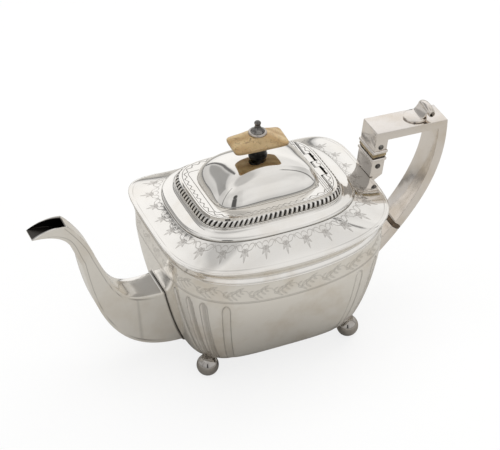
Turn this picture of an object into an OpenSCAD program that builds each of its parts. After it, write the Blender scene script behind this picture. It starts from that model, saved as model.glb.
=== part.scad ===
// Oblong silver teapot with a flush-hinged lid, a square-section spout and an insulated handle.
// X runs from spout to handle, Y across, Z up from the table. Millimetres.

/* [Body] */
// Half length of the shoulder's rim
rim_a = 76; // [68:0.5:84]
// Half width of the shoulder's rim
rim_b = 61; // [54:0.5:66]
// Squareness of the rim's plan
rim_n = 4.3; // [3:0.1:5]
// How far the rim rises from mid side to each end
rim_sheer = 10.8; // [0:0.2:12]
// How far the rim overhangs the body wall at the ends
overhang_a = 2.2; // [1:0.1:4]
// How far the rim overhangs the body wall at the sides
overhang_b = 1.2; // [0.6:0.1:3]
// Half length of the base
base_a = 57; // [48:0.5:62]
// Half width of the base
base_b = 44; // [38:0.5:50]
// Height of the base above the table
base_z = 14.5; // [12:0.5:18]
// Height of the belly, from the base to the line under the engraved band, mid side
belly_h = 54; // [48:0.5:60]
// Height of the engraved band, mid side
band_h = 14.9; // [12:0.5:17]
// Height of the plain strip between the fine bead and the rim, mid side
strip_h = 10.9; // [9:0.1:13]
// Rise of the band and bead from mid side to each end
belt_sheer = 14.5; // [0:0.5:16]
// Fullness of the belly between base and band
belly = 1.35; // [1.2:0.05:2.4]
// Thickness of the silver sheet
sheet = 1.8; // [1.4:0.1:2.2]
// Depth of the corner flutes
flute_depth = 1; // [0.3:0.1:1.2]
// Angular half width of one flute, degrees
flute_half = 1.5; // [0.8:0.1:2]

/* [Collar] */
// Half length of the collar's foot on the shoulder
foot_a = 60.3; // [56:0.5:64]
// Half width of the collar's foot on the shoulder
foot_b = 47.5; // [44:0.5:52]
// Height of the shoulder, from the rim mid side to the collar's foot
shoulder_h = 14.4; // [12:0.1:17]
// Height of the collar, from its foot to the lid plate's top face
collar_h = 10.6; // [9:0.1:12.5]
// Half length of the lid plate
lid_a = 45.9; // [42:0.1:48]
// Half width of the lid plate
lid_b = 34.8; // [32:0.1:38]
// Squareness of the lid's plan
lid_n = 4.4; // [3:0.1:5]
// Gadroons around the border
gadroons = 92; // [60:2:120]
// Height of the gadroon border and the lid's edge over it
border_h = 5.7; // [4:0.1:6]
// How far one gadroon stands proud
gadroon_h = 0.8; // [0.4:0.1:1.2]

/* [Lid] */
// Thickness of the lid plate
plate_t = 1.4; // [1:0.1:1.6]
// Width of the flat border between the lid's edge and the dome, at the ends
flat_a = 8.9; // [7.5:0.1:12]
// Width of the flat border between the lid's edge and the dome, at the sides
flat_b = 7.3; // [6:0.1:11]
// Height of the dome over the plate
dome_h = 18.9; // [12:0.1:21]
// Distance of the hinge axis inside the lid's edge
hinge_in = 5.2; // [4.7:0.1:5.3]
// Radius of the hinge barrel
barrel_r = 2.1; // [1.8:0.1:2.1]
// Radius of the hinge pin
pin_r = 0.8; // [0.5:0.1:1]
// Radial clearance of the pin in the lid's knuckles
pin_gap = 0.05; // [0.02:0.01:0.1]
// Half length of the middle knuckle
knuckle_mid = 3.4; // [2.5:0.1:5]
// Length of each lid knuckle
knuckle_lid = 9.4; // [6:0.1:10]
// Length of each outer knuckle
knuckle_out = 8; // [5:0.1:9]
// Gap between neighbouring knuckles
knuckle_gap = 0.15; // [0.1:0.05:0.3]

/* [Finial] */
// Half length of the ivory plaque
plaque_a = 18.3; // [15:0.1:20]
// Half width of the ivory plaque
plaque_b = 10.4; // [9:0.1:13]
// Height of the plaque's underside over the dome
pedestal_h = 8.4; // [7:0.1:12]
// Thickness of the plaque at its middle
plaque_t = 7.7; // [5:0.1:9]
// Radius of the disc under the bud
disc_r = 6; // [5:0.1:7]
// Height of the bud's tip over the plaque
bud_h = 8.8; // [6:0.2:11]

/* [Spout] */
// Distance of the spout's tip from the middle of the lid
spout_reach = 153.4; // [150:0.2:157]
// Height of the spout's tip over the rim, mid side
tip_h = 25.1; // [22:0.1:28]
// Length of the open mouth along X
mouth_l = 22.4; // [18:0.5:26]
// Height of the mouth's back over the tip
mouth_rise = 4.8; // [3:0.2:6]
// Height of the spout's top edge over the base, at the body
root_h = 43; // [38:0.5:46]
// Half width of the spout at the body
spout_root = 12; // [10:0.5:13]
// Half width of the spout at its neck
spout_neck = 7.8; // [6.5:0.1:9]
// Half width of the spout at its mouth
spout_tip = 6.2; // [5:0.1:7]
// Thickness of the spout's walls
spout_wall = 1.1; // [0.9:0.1:1.3]
// Radius of each strainer hole
strainer_r = 1.4; // [1:0.1:1.6]

/* [Handle] */
// Distance of the handle's outer corner from the middle of the lid
handle_reach = 131; // [128:0.5:134]
// Width of the handle across Y
handle_w = 20; // [16:0.5:21]
// Thickness of the handle's arm and curve
handle_t = 6.4; // [5:0.1:7]
// Depth of the upright post
post_d = 9; // [7.5:0.1:10]
// Lean of the post away from the lid, degrees
post_lean = 7.5; // [4:0.5:9]
// Height of the arm at the post over the rim's ends
arm_h = 33.1; // [29:0.1:37]
// Height of the handle's lower end over the base
lug_h = 26; // [22:0.5:30]
// Thickness of the upper insulator
insulator_t = 3.4; // [2.5:0.1:4]
// Thickness of the handle's hollow walls
handle_wall = 1; // [0.8:0.1:1.4]

/* [Feet] */
// Radius of each ball foot
ball_r = 7.3; // [6.5:0.1:7.3]
// Distance of the balls' middles inside the base's ends
ball_in_a = 6.5; // [6:0.1:12]
// Distance of the balls' middles inside the base's sides
ball_in_b = 10.4; // [7:0.1:12]

/* [Hidden] */

eps = 0.05;
silver = [0.80, 0.79, 0.77];
ivory = [0.79, 0.66, 0.43];
dark = [0.16, 0.15, 0.15];

// the row's origin is the middle of the overall length
shift = (spout_reach - handle_reach) / 2;

// heights, stacked from the table up
band_z = base_z + belly_h;
belt_z = band_z + band_h;
rim_z = belt_z + strip_h;
rim_end = rim_z + rim_sheer;
foot_z = rim_z + shoulder_h;
lid_z = foot_z + collar_h;
arm_z = rim_end + arm_h;

// ---- plan curves ----
function plan_r(a, b, n, p) =
    pow(pow(abs(cos(p)) / a, n) + pow(abs(sin(p)) / b, n), -1 / n);
function plan(a, b, n, count) =
    [for (i = [0:count - 1]) let(p = i * 360 / count, r = plan_r(a, b, n, p)) [r * cos(p), r * sin(p)]];
// a ring is [half length, half width, squareness, height mid side, rise at the ends]
function sheer_at(x, rise) = rise * pow(x / rim_a, 2);
function ring(s, angles) =
    [for (p = angles) let(r = plan_r(s[0], s[1], s[2], p)) [r * cos(p), r * sin(p), s[3] + sheer_at(r * cos(p), s[4])]];
function flat_ring(s, count) = [for (q = plan(s[0], s[1], s[2], count)) [q[0], q[1], s[3]]];
function even(count) = [for (i = [0:count - 1]) i * 360 / count];
function mix(a, b, f) = a + (b - a) * f;
function cubic(q, t) =
    pow(1 - t, 3) * q[0] + 3 * t * pow(1 - t, 2) * q[1] + 3 * t * t * (1 - t) * q[2] + pow(t, 3) * q[3];
function slope(q, t) =
    3 * pow(1 - t, 2) * (q[1] - q[0]) + 6 * t * (1 - t) * (q[2] - q[1]) + 3 * t * t * (q[3] - q[2]);

// ---- lofts ----
// a tube closed on itself: rings run up the outside and down the inside
module shell_loft(rings) {
    m = len(rings);
    k = len(rings[0]);
    points = [for (r = rings) for (q = r) q];
    faces = [for (i = [0:m - 1]) for (j = [0:k - 1])
        let(a = i * k + j, b = i * k + (j + 1) % k, c = ((i + 1) % m) * k + (j + 1) % k, d = ((i + 1) % m) * k + j)
        for (f = [[a, d, c], [a, c, b]]) f];
    polyhedron(points, faces, convexity = 8);
}
// a solid with flat ends: rings run from bottom to top
module solid_loft(rings) {
    m = len(rings);
    k = len(rings[0]);
    points = [for (r = rings) for (q = r) q];
    sides = [for (i = [0:m - 2]) for (j = [0:k - 1])
        let(a = i * k + j, b = i * k + (j + 1) % k, c = (i + 1) * k + (j + 1) % k, d = (i + 1) * k + j)
        for (f = [[a, d, c], [a, c, b]]) f];
    polyhedron(points, concat(sides, [[for (j = [0:k - 1]) j]], [[for (j = [0:k - 1]) m * k - 1 - j]]), convexity = 6);
}
// a profile in X and Z, extruded symmetrically across Y
module across(points, width) {
    rotate([90, 0, 0])
        translate([0, 0, -width / 2])
            linear_extrude(width) polygon(points);
}
module cross_pin(x, z, r, length) {
    translate([x, length / 2, z])
        rotate([90, 0, 0])
            cylinder(r = r, h = length, $fn = 32);
}

// ---- body wall ----
wall_a = rim_a - overhang_a;
wall_b = rim_b - overhang_b;
wall_n = 4;
base_n = 3.9;
flute_first = 27;
flute_pitch = 8.7;
flutes = [for (i = [0:3]) flute_first + i * flute_pitch];
flute_steps = [-1, -0.5, 0, 0.5, 1];
quarter = concat([0, 7, 14, 20], [for (f = flutes) for (k = flute_steps) f + k * flute_half], [60, 67, 74, 82]);
body_angles = concat(quarter, [for (i = [len(quarter) - 1:-1:1]) 180 - quarter[i]],
    [for (p = quarter) 180 + p], [for (i = [len(quarter) - 1:-1:1]) 360 - quarter[i]]);
function in_quarter(p) = let(q = p % 180) q > 90 ? 180 - q : q;
function groove(p) = max([for (f = flutes) max(0, 1 - pow((in_quarter(p) - f) / flute_half, 2))]);
function swell(t) = pow(1 - pow(1 - t, belly), 1 / belly);
// t runs from the base to the line under the band
function wall_at(t) = [mix(base_a, wall_a, swell(t)), mix(base_b, wall_b, swell(t)), mix(base_n, wall_n, t),
    mix(base_z, band_z, t), belt_sheer * t];
function inset(s, d, dz) = [s[0] - d, s[1] - d, s[2], s[3] + dz, s[4]];
function fluted(s, depth) =
    [for (p = body_angles) let(r = plan_r(s[0], s[1], s[2], p) - depth * groove(p))
        [r * cos(p), r * sin(p), s[3] + sheer_at(r * cos(p), s[4])]];
belt_ring = [wall_a, wall_b, wall_n, belt_z, belt_sheer];
rim_gap = 1.6;
flare = 0.7;
lip_ring = [wall_a + flare * overhang_a, wall_b + flare * overhang_b, wall_n, rim_z - rim_gap, rim_sheer];
cavetto_ring = [mix(wall_a, lip_ring[0], 0.25), mix(wall_b, lip_ring[1], 0.25), wall_n, mix(belt_z, lip_ring[3], 0.55),
    mix(belt_sheer, rim_sheer, 0.55)];
// where the wall stands at an end, seen from the side: height against distance
wall_steps = [0, 0.05, 0.13, 0.24, 0.37, 0.52, 0.68, 0.82, 0.93, 1];
end_profile = [for (t = wall_steps) let(q = wall_at(t)) [q[3] + sheer_at(q[0], q[4]), q[0]]];
function end_x(z) = lookup(z, end_profile);
// clearance of a piece soldered to the curved wall
wall_seam = 0.2;

strainer_z = base_z + 11.5;
strainer_pitch = 4.6;
strainer_rise = 6.5;
module strainer() {
    for (row = [0:3])
        for (col = [-1:1])
            translate([-rim_a, col * strainer_pitch, strainer_z + row * strainer_rise])
                rotate([0, 90, 0]) cylinder(r = strainer_r, h = 30, $fn = 16);
}
module body_shell() {
    outer = [for (t = wall_steps)
        fluted(wall_at(t), flute_depth * (t > 0.9 ? (1 - t) * 5 : t > 0.01 ? 1 : 0.6))];
    inner = [for (t = [1, 0.7, 0.45, 0.24, 0.1, 0]) ring(inset(wall_at(t), sheet, 0), body_angles)];
    color(silver)
        difference() {
            shell_loft(concat(outer, [for (q = [belt_ring, cavetto_ring, lip_ring, inset(lip_ring, sheet, 0)])
                ring(q, body_angles)], inner));
            strainer();
        }
}
module base_plate() {
    color(silver)
        translate([0, 0, base_z])
            linear_extrude(1.2)
                polygon(plan(base_a - sheet - 0.3, base_b - sheet - 0.3, base_n, 72));
}

// ---- shoulder, rim and belt ----
shoulder_t = 1.4;
function shoulder_at(f) = [mix(rim_a, foot_a, f), mix(rim_b, foot_b, f), mix(rim_n, 2.9, f),
    mix(rim_z, foot_z, pow(f, 0.92)), rim_sheer * (1 - f)];
module shoulder() {
    up = [for (f = [0, 0.12, 0.35, 0.62, 1]) ring(shoulder_at(f), even(72))];
    down = [for (f = [1, 0.5, 0.12, 0]) ring(inset(shoulder_at(f), f > 0.9 ? 0 : 1.2, -shoulder_t), even(72))];
    color(silver) shell_loft(concat(up, [ring(inset(shoulder_at(1), 1.6, 0), even(72))], down));
}
bead_w = 1.1;
module rim_moulding() {
    edge = shoulder_at(0);
    section = [[0.05, -shoulder_t], [bead_w, -shoulder_t + 0.3], [bead_w, -0.4], [0.05, 0.1]];
    color(silver)
        shell_loft([for (q = section)
            ring([rim_a + q[0] - 0.05, rim_b + q[0], edge[2], edge[3] + q[1], edge[4]], even(72))]);
}
module belt_bead() {
    section = [[2 * eps, -0.6], [0.8, -0.4], [0.8, 0.2], [2 * eps, 0.3]];
    color(silver)
        shell_loft([for (q = section)
            ring([wall_a + q[0], wall_b + q[0], wall_n, belt_z + q[1], belt_sheer], body_angles)]);
}

// ---- collar and gadroon border ----
seat_z = lid_z - plate_t - eps;
gad_a = lid_a + 3.4;
gad_b = lid_b + 3.4;
gad_z = lid_z - border_h;
collar_t = 1.2;
mouth_a = lid_a - 1.9;
mouth_b = lid_b - 3.6;
mouth_n = 5;
function cove(f) = [mix(foot_a, gad_a, f), mix(foot_b, gad_b, f), mix(2.9, lid_n, f),
    mix(foot_z + eps, gad_z, pow(f, 1.9)), 0];
module collar() {
    up = [for (f = [0, 0.3, 0.6, 0.85, 1]) flat_ring(cove(f), 72)];
    ledge = [flat_ring([gad_a - 2.5, gad_b - 2.5, lid_n, gad_z], 72),
        flat_ring([gad_a - 2.5, gad_b - 2.5, lid_n, seat_z], 72),
        flat_ring([mouth_a, mouth_b, mouth_n, seat_z], 72),
        flat_ring([mouth_a, mouth_b, mouth_n, seat_z - collar_t], 72)];
    down = [flat_ring([gad_a - 3.9, gad_b - 3.9, lid_n, seat_z - collar_t], 72),
        flat_ring([gad_a - 3.9, gad_b - 3.9, lid_n, gad_z - collar_t], 72),
        flat_ring([mix(foot_a, gad_a, 0.55), mix(foot_b, gad_b, 0.55), 3.4, foot_z + eps], 72)];
    color(silver) shell_loft(concat(up, ledge, down));
}
module gadroon_border() {
    k = gadroons * 2;
    function wavy(z, turn) = [for (i = [0:k - 1])
        let(p = (i + turn) * 360 / k, r = plan_r(gad_a - 0.8, gad_b - 0.8, lid_n, p) + (i % 2 == 0 ? gadroon_h : 0))
            [r * cos(p), r * sin(p), z]];
    color(silver)
        shell_loft([wavy(gad_z + eps, 0), wavy(seat_z - 0.5, 1),
            flat_ring([gad_a - 1.6, gad_b - 1.6, lid_n, seat_z], k),
            flat_ring([gad_a - 2.4, gad_b - 2.4, lid_n, seat_z], k),
            flat_ring([gad_a - 2.4, gad_b - 2.4, lid_n, gad_z + eps], k)]);
}

// ---- hinge ----
hinge_x = lid_a - hinge_in;
axis_z = lid_z - barrel_r - eps;
barrel_gap = 0.3;
lid_y0 = knuckle_mid + knuckle_gap;
lid_y1 = knuckle_mid + knuckle_lid;
out_y0 = lid_y1 + knuckle_gap;
out_y1 = out_y0 + knuckle_out;
lid_edge = hinge_x - barrel_r - 0.1;
leaf_edge = hinge_x + barrel_r + 0.4;
module lid_plan() {
    polygon(plan(lid_a, lid_b, lid_n, 96));
}
// one knuckle, tied to its plate by a flush web on one side
module knuckle(y0, y1, side, bore) {
    difference() {
        union() {
            translate([hinge_x, y1, axis_z]) rotate([90, 0, 0]) cylinder(r = barrel_r, h = y1 - y0, $fn = 48);
            translate([side > 0 ? hinge_x : hinge_x - barrel_r - 1, y0, lid_z - plate_t])
                cube([barrel_r + 1, y1 - y0, plate_t - eps]);
        }
        translate([hinge_x, y1 + 1, axis_z])
            rotate([90, 0, 0]) cylinder(r = bore, h = y1 - y0 + 2, $fn = 48);
    }
}
// beyond the knuckles the leaf's edge keeps the barrel's curve, so that the lid swings past it
module rounded_edge() {
    intersection() {
        translate([hinge_x, lid_b, axis_z]) rotate([90, 0, 0]) cylinder(r = barrel_r, h = lid_b - out_y1, $fn = 48);
        translate([0, 0, seat_z])
            linear_extrude(plate_t)
                intersection() {
                    lid_plan();
                    translate([hinge_x - barrel_r, 0]) square([barrel_r, lid_b]);
                }
    }
}
module hinge_leaf() {
    color(silver) {
        difference() {
            translate([0, 0, seat_z])
                linear_extrude(plate_t)
                    intersection() {
                        lid_plan();
                        translate([hinge_x, -lid_b]) square([lid_a, lid_b * 2]);
                    }
            for (s = [0, 1])
                mirror([0, s, 0])
                    translate([lid_edge - 1, lid_y0 - knuckle_gap, seat_z - 1])
                        cube([leaf_edge - lid_edge + 1, lid_y1 - lid_y0 + 2 * knuckle_gap, plate_t + 2]);
            for (s = [0, 1])
                mirror([0, s, 0])
                    translate([lid_edge - 1, out_y0, seat_z - 1])
                        cube([leaf_edge - lid_edge + 1, out_y1 - out_y0 + eps, plate_t + 2]);
            translate([lid_edge - 1, -knuckle_mid, seat_z - 1])
                cube([leaf_edge - lid_edge + 1, knuckle_mid * 2, plate_t + 2]);
        }
        knuckle(-knuckle_mid, knuckle_mid, 1, pin_r);
        for (s = [0, 1])
            mirror([0, s, 0]) {
                knuckle(out_y0, out_y1, 1, pin_r);
                rounded_edge();
            }
    }
}
module hinge_pin() {
    color(dark) cross_pin(hinge_x, axis_z, pin_r, 2 * out_y1);
}

// ---- lid ----
dome_a = lid_a - flat_a;
dome_b = lid_b - flat_b;
dome_rings = [
    [1, 1, 4, 0], [0.985, 0.98, 4, 0.1], [0.95, 0.94, 4, 0.25], [0.87, 0.86, 4, 0.46],
    [0.75, 0.74, 3.8, 0.66], [0.58, 0.57, 3.4, 0.82], [0.38, 0.38, 2.6, 0.94]
];
seat_r = 6.4;
dome_z = lid_z + dome_h;
function dome_ring(s, d) = flat_ring([dome_a * s[0] - d, dome_b * s[1] - d, s[2], lid_z + dome_h * s[3]], 48);
module lid_plate() {
    color(silver) {
        translate([0, 0, lid_z - plate_t])
            linear_extrude(plate_t)
                difference() {
                    intersection() {
                        lid_plan();
                        translate([-lid_a, -lid_b]) square([lid_a + lid_edge, lid_b * 2]);
                    }
                    polygon(plan(dome_a - 2, dome_b - 2, 4, 72));
                }
        for (s = [0, 1])
            mirror([0, s, 0]) knuckle(lid_y0, lid_y1, -1, pin_r + pin_gap);
    }
}
module lid_bezel() {
    bezel_h = 4.2;
    bezel_a = mouth_a - 0.6;
    bezel_b = mouth_b - 0.5;
    module outline(d) {
        intersection() {
            polygon(plan(bezel_a - d, bezel_b - d, lid_n, 96));
            translate([-bezel_a, -bezel_b]) square([bezel_a + hinge_x - barrel_r - 2.2 - d, bezel_b * 2]);
        }
    }
    color(silver)
        translate([0, 0, lid_z - plate_t - bezel_h])
            linear_extrude(bezel_h)
                difference() {
                    outline(0);
                    outline(1.2);
                }
}
module lid_dome() {
    outer = [for (s = dome_rings) dome_ring(s, 0)];
    cap = [flat_ring([seat_r + 0.4, seat_r + 0.4, 2, dome_z], 48), flat_ring([2, 2, 2, dome_z], 48),
        flat_ring([2, 2, 2, dome_z - sheet], 48), flat_ring([seat_r, seat_r, 2, dome_z - sheet], 48)];
    inner = [for (i = [5:-1:1]) dome_ring([dome_rings[i][0], dome_rings[i][1], dome_rings[i][2],
        max(0, dome_rings[i][3] - 0.08)], sheet)];
    color(silver)
        shell_loft(concat(outer, cap, inner, [flat_ring([dome_a - sheet, dome_b - sheet, 4, lid_z], 48)]));
}

// ---- finial ----
plaque_z = dome_z + pedestal_h;
plaque_top = plaque_z + plaque_t;
stud_r = 1.5;
module turned(points) {
    rotate_extrude($fn = 56) polygon(points);
}
module finial_pedestal() {
    z0 = dome_z;
    z1 = plaque_z - eps;
    color(dark)
        turned([[stud_r, z0], [6, z0], [6.1, z0 + 0.9], [5.2, z0 + 1.4], [5, z0 + 2.4], [5.3, z0 + 4],
            [6.1, z1 - 2.2], [6.5, z1 - 1.5], [6.9, z1 - 1.3], [6.9, z1], [stud_r, z1]]);
}
module finial_plaque() {
    edge = plaque_t * 0.27;
    color(ivory)
        difference() {
            solid_loft([
                flat_ring([plaque_a - 0.9, plaque_b - 0.9, 8, plaque_z], 56),
                flat_ring([plaque_a, plaque_b, 8, plaque_z + 0.6], 56),
                flat_ring([plaque_a, plaque_b, 8, plaque_z + edge], 56),
                flat_ring([plaque_a * 0.94, plaque_b * 0.92, 7, mix(plaque_z + edge, plaque_top, 0.14)], 56),
                flat_ring([plaque_a * 0.78, plaque_b * 0.82, 5, mix(plaque_z + edge, plaque_top, 0.38)], 56),
                flat_ring([plaque_a * 0.56, plaque_b * 0.71, 3, mix(plaque_z + edge, plaque_top, 0.7)], 56),
                flat_ring([disc_r + 0.2, disc_r + 0.2, 2, plaque_top], 56)]);
            translate([0, 0, plaque_z - 1]) cylinder(r = stud_r, h = plaque_t + 2, $fn = 32);
        }
}
disc_t = 1.3;
module finial_disc() {
    z0 = plaque_top;
    color(silver)
        turned([[stud_r, z0], [disc_r - 0.4, z0], [disc_r, z0 + 0.4], [disc_r, z0 + 0.9], [disc_r - 0.5, z0 + disc_t],
            [stud_r, z0 + disc_t]]);
}
module finial_bud() {
    z0 = plaque_top + disc_t;
    z1 = plaque_top + bud_h;
    color(dark)
        difference() {
            turned([[0, z0], [disc_r - 1.3, z0], [disc_r - 1.4, z0 + 0.6], [3.4, z0 + 1.5], [2.4, z0 + 2.6], [1.9, z0 + 3.8],
                [1.7, z1 - 2.5], [2.1, z1 - 2], [2.2, z1 - 1.1], [1.6, z1 - 0.3], [0, z1]]);
            translate([0, 0, z0 - 1]) cylinder(r = stud_r, h = 3, $fn = 32);
        }
}
stud_low = dome_z - sheet - 2.6;
module finial_stud() {
    color(dark)
        translate([0, 0, stud_low])
            cylinder(r = stud_r - 0.02, h = plaque_top + disc_t + 2 - eps - stud_low, $fn = 32);
}
module finial_nut() {
    color(silver)
        difference() {
            translate([0, 0, stud_low + 0.5]) cylinder(r = 3.4, h = 2.05, $fn = 6);
            translate([0, 0, stud_low]) cylinder(r = stud_r, h = 4, $fn = 32);
        }
}

// ---- spout ----
root_top = base_z + root_h;
root_low = base_z + 1;
root_flange = 0.8;
root_out = 1.7;
tip = [-spout_reach, rim_z + tip_h];
mouth_back = tip + [mouth_l, mouth_rise];
root_a = [-end_x(root_top) - root_out, root_top];
root_b = [-end_x(root_low) - root_out, root_low];
// the root's sides turn with the wall, at the wall's own heights
root_levels = [for (i = [len(end_profile) - 1:-1:0])
    if (end_profile[i][0] > root_low + 1.5 && end_profile[i][0] < root_top - 1.5) end_profile[i][0]];
neck_a = tip + [39.4, -23];
neck_b = tip + [30.4, -27];
// the upper and lower edges, each as two cubics that meet at the neck
upper_edge = [[root_a, root_a + [-30, -0.9], neck_a + [12.5, -30], neck_a],
    [neck_a, neck_a + [-3, 11.2], mouth_back + [2.7, -2], mouth_back]];
lower_edge = [[root_b, root_b + [-46.6, -2.2], neck_b + [5.7, -35.7], neck_b],
    [neck_b, neck_b + [-6, 11.6], tip + [27.6, -0.4], tip]];
// u runs from 0 at the body through 1 at the neck to 2 at the mouth; d is the depth inside the edge
spout_steps = [0.1, 0.2, 0.32, 0.44, 0.56, 0.68, 0.8, 0.9, 1, 1.2, 1.4, 1.58, 1.74, 1.88, 2];
function edge_at(q, u, d) = let(k = u < 1 ? 0 : 1, v = slope(q[k], u - k)) cubic(q[k], u - k) + [-v[1], v[0]] * d / norm(v);
function half_at(u) = u < 1 ? mix(spout_root, spout_neck, pow(u, 0.8)) : mix(spout_neck, spout_tip, u - 1);
edge_cut = 0.7;
mouth_arch = 2;
side_steps = [for (i = [0:len(root_levels) + 1]) i / (len(root_levels) + 1)];
// a section runs down the +Y side and up the -Y side, with its four corners cut
function section(top, side, low, half) =
    concat([[top[0], half - edge_cut, top[1]]], [for (q = side) [q[0], half, q[1]]],
        [[low[0], half - edge_cut, low[1]], [low[0], edge_cut - half, low[1]]],
        [for (i = [len(side) - 1:-1:0]) [side[i][0], -half, side[i][1]]], [[top[0], edge_cut - half, top[1]]]);
// at the mouth the sides arch up between the edges
function spout_ring(u, d) =
    let(top = edge_at(upper_edge, u, d), low = edge_at(lower_edge, u, -d), v = (low - top) / norm(low - top),
        a = top + v * edge_cut, b = low - v * edge_cut, arch = u == 2 ? mouth_arch : 0)
    section(top, [for (f = side_steps) a + (b - a) * f + [0, arch * 4 * f * (1 - f)]], low, half_at(u) - d);
function root_point(z, out) = [-end_x(z) - out, z];
function root_ring(out, grow) =
    let(levels = concat([root_top + grow - edge_cut], root_levels, [root_low - grow + edge_cut]))
    section(root_point(root_top + grow, out), [for (z = levels) root_point(z, out)],
        root_point(root_low - grow, out), spout_root + grow);
module spout() {
    last = len(spout_steps) - 1;
    outer = concat([root_ring(wall_seam, root_flange), root_ring(root_out, root_flange), root_ring(root_out + 0.1, 0)],
        [for (u = spout_steps) spout_ring(u, 0)]);
    inner = concat([for (i = [last:-1:0]) spout_ring(spout_steps[i], spout_wall)], [root_ring(wall_seam, -spout_wall)]);
    color(silver) shell_loft(concat(outer, inner));
}

// ---- feet ----
module ball_foot(sx, sy) {
    color(silver)
        translate([sx * (base_a - ball_in_a), sy * (base_b - ball_in_b), 0])
            difference() {
                union() {
                    translate([0, 0, ball_r - 0.2]) sphere(r = ball_r, $fn = 40);
                    translate([0, 0, base_z - 1.8]) cylinder(r = 3.8, h = 1.8 - eps, $fn = 48);
                }
                translate([-ball_r, -ball_r, -2]) cube([2 * ball_r, 2 * ball_r, 2]);
            }
}
module foot_spout_front() { ball_foot(-1, -1); }
module foot_spout_back() { ball_foot(-1, 1); }
module foot_handle_front() { ball_foot(1, -1); }
module foot_handle_back() { ball_foot(1, 1); }

// ---- handle ----
// the curve's outer edge is a cubic from the arm's corner to the lower socket
corner_drop = 2.4;
lug_z = base_z + lug_h;
lug_x = end_x(lug_z) + 16;
curve = [[handle_reach, arm_z - corner_drop], [handle_reach, arm_z - 34.2], [handle_reach - 9, arm_z - 60.2],
    [lug_x, lug_z]];
// a point inside the curve's outer edge by d
function inside(t, d) = let(v = slope(curve, t), u = v / norm(v)) cubic(curve, t) + [u[1], -u[0]] * d;
joint_t = 0.83;
steps = 24;
post_h = 13.8;
post_top = [rim_a + 3.6, arm_z];
post_foot_z = arm_z - post_h;
function post_x(z) = post_top[0] - (post_top[1] - z) * tan(post_lean);
post_across = post_d / cos(post_lean);
inner_corner = [post_x(arm_z - handle_t) + post_across, arm_z - handle_t - 0.4];
start_t = 0.06;
function band_points(d) = [for (i = [0:steps]) inside(joint_t * i / steps, d)];
function inner_points(d) = [for (i = [steps:-1:0]) inside(mix(start_t, joint_t, i / steps), d)];
handle_outline = concat([post_top], band_points(0), inner_points(handle_t), [inner_corner],
    [[post_x(post_foot_z) + post_across, post_foot_z], [post_x(post_foot_z), post_foot_z]]);
w = handle_wall;
handle_cavity = concat([[post_top[0] + w + 0.2, arm_z - w - 0.1], [handle_reach - w, arm_z - corner_drop - w]],
    [for (i = [1:steps]) inside((joint_t - 0.02) * i / steps, w)],
    [for (i = [steps:-1:0]) inside(mix(start_t, joint_t - 0.02, i / steps), handle_t - w)],
    [inner_corner + [-w, w], [post_x(post_foot_z + w) + post_across - w, post_foot_z + w],
        [post_x(post_foot_z + w) + w, post_foot_z + w]]);
post_pin_z = post_foot_z + 2.6;
socket_pin_z = rim_end + 7.7;
vent = [post_top[0] + 20.4, arm_z - 4.8];
module handle_frame() {
    color(silver)
        difference() {
            across(handle_outline, handle_w);
            across(handle_cavity, handle_w - 2 * w);
            cross_pin(post_x(post_pin_z) + post_across / 2, post_pin_z, 0.9, handle_w + 2);
            translate([vent[0], 0, vent[1]]) rotate([90, 0, 0]) cylinder(r = 0.5, h = handle_w, $fn = 16);
        }
}
// square bands and blocks down the leaning post, from one height to another
function post_block(z0, z1, grow) = [[post_x(z1) - grow, z1], [post_x(z1) + post_across + grow, z1],
    [post_x(z0) + post_across + grow, z0], [post_x(z0) - grow, z0]];
moulding_t = 2.2;
post_moulding_z = post_foot_z - eps;
insulator_top = post_moulding_z - moulding_t;
insulator_low = insulator_top - insulator_t;
module post_moulding() {
    color(silver)
        across(post_block(insulator_top + eps, post_moulding_z, 0.8), handle_w + 1.6);
}
module upper_insulator() {
    color(ivory)
        across(post_block(insulator_low, insulator_top, 0.2), handle_w + 0.4);
}
socket_top = insulator_low - eps;
module upper_socket() {
    // the block's outer half hooks over the rim, with a slanting underside
    hook_x = rim_a + bead_w + eps;
    block = [[post_x(socket_top), socket_top], [post_x(socket_top) + post_across, socket_top],
        [post_x(rim_end) + post_across, rim_end + 0.6], [hook_x, rim_end - 3.6], [hook_x, rim_end + 0.5],
        [post_x(rim_end), rim_end + 0.5]];
    color(silver)
        difference() {
            union() {
                across(block, handle_w);
                across(post_block(socket_top - 2, socket_top, 0.8), handle_w + 1.6);
            }
            cross_pin(post_x(socket_pin_z) + post_across / 2, socket_pin_z, 0.9, handle_w + 2);
        }
}
module post_pin() {
    color(dark) cross_pin(post_x(post_pin_z) + post_across / 2, post_pin_z, 0.9, handle_w + 0.6);
}
module socket_pin() {
    color(dark) cross_pin(post_x(socket_pin_z) + post_across / 2, socket_pin_z, 0.9, handle_w + 0.6);
}
module thumbpiece() {
    // a flat shell-shaped leaf that sweeps up into a rolled scroll
    sweep_x = handle_reach - 19;
    top = function(x) arm_z - (x - post_top[0]) * corner_drop / (handle_reach - post_top[0]) + eps;
    lift = [[0, 0], [3, 0.3], [5.4, 1.4], [7.2, 3.2], [8.2, 5.2]];
    color(silver) {
        translate([sweep_x, 0, top(sweep_x - 8)]) cylinder(r = 8, h = 1.3, $fn = 64);
        across(concat([for (q = lift) [sweep_x + q[0], top(sweep_x - 8) + q[1] + 1.3]],
            [for (i = [4:-1:0]) [sweep_x + lift[i][0] + 1.5, top(sweep_x - 8) + lift[i][1]]]), 12.6);
        translate([sweep_x + 8.2, 0, top(sweep_x - 8) + 5.7])
            rotate([90, 0, 0])
                rotate_extrude($fn = 28)
                    polygon([[0, -7], [1.9, -7], [2.6, -4.6], [2.8, 0], [2.6, 4.6], [1.9, 7], [0, 7]]);
    }
}

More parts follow.
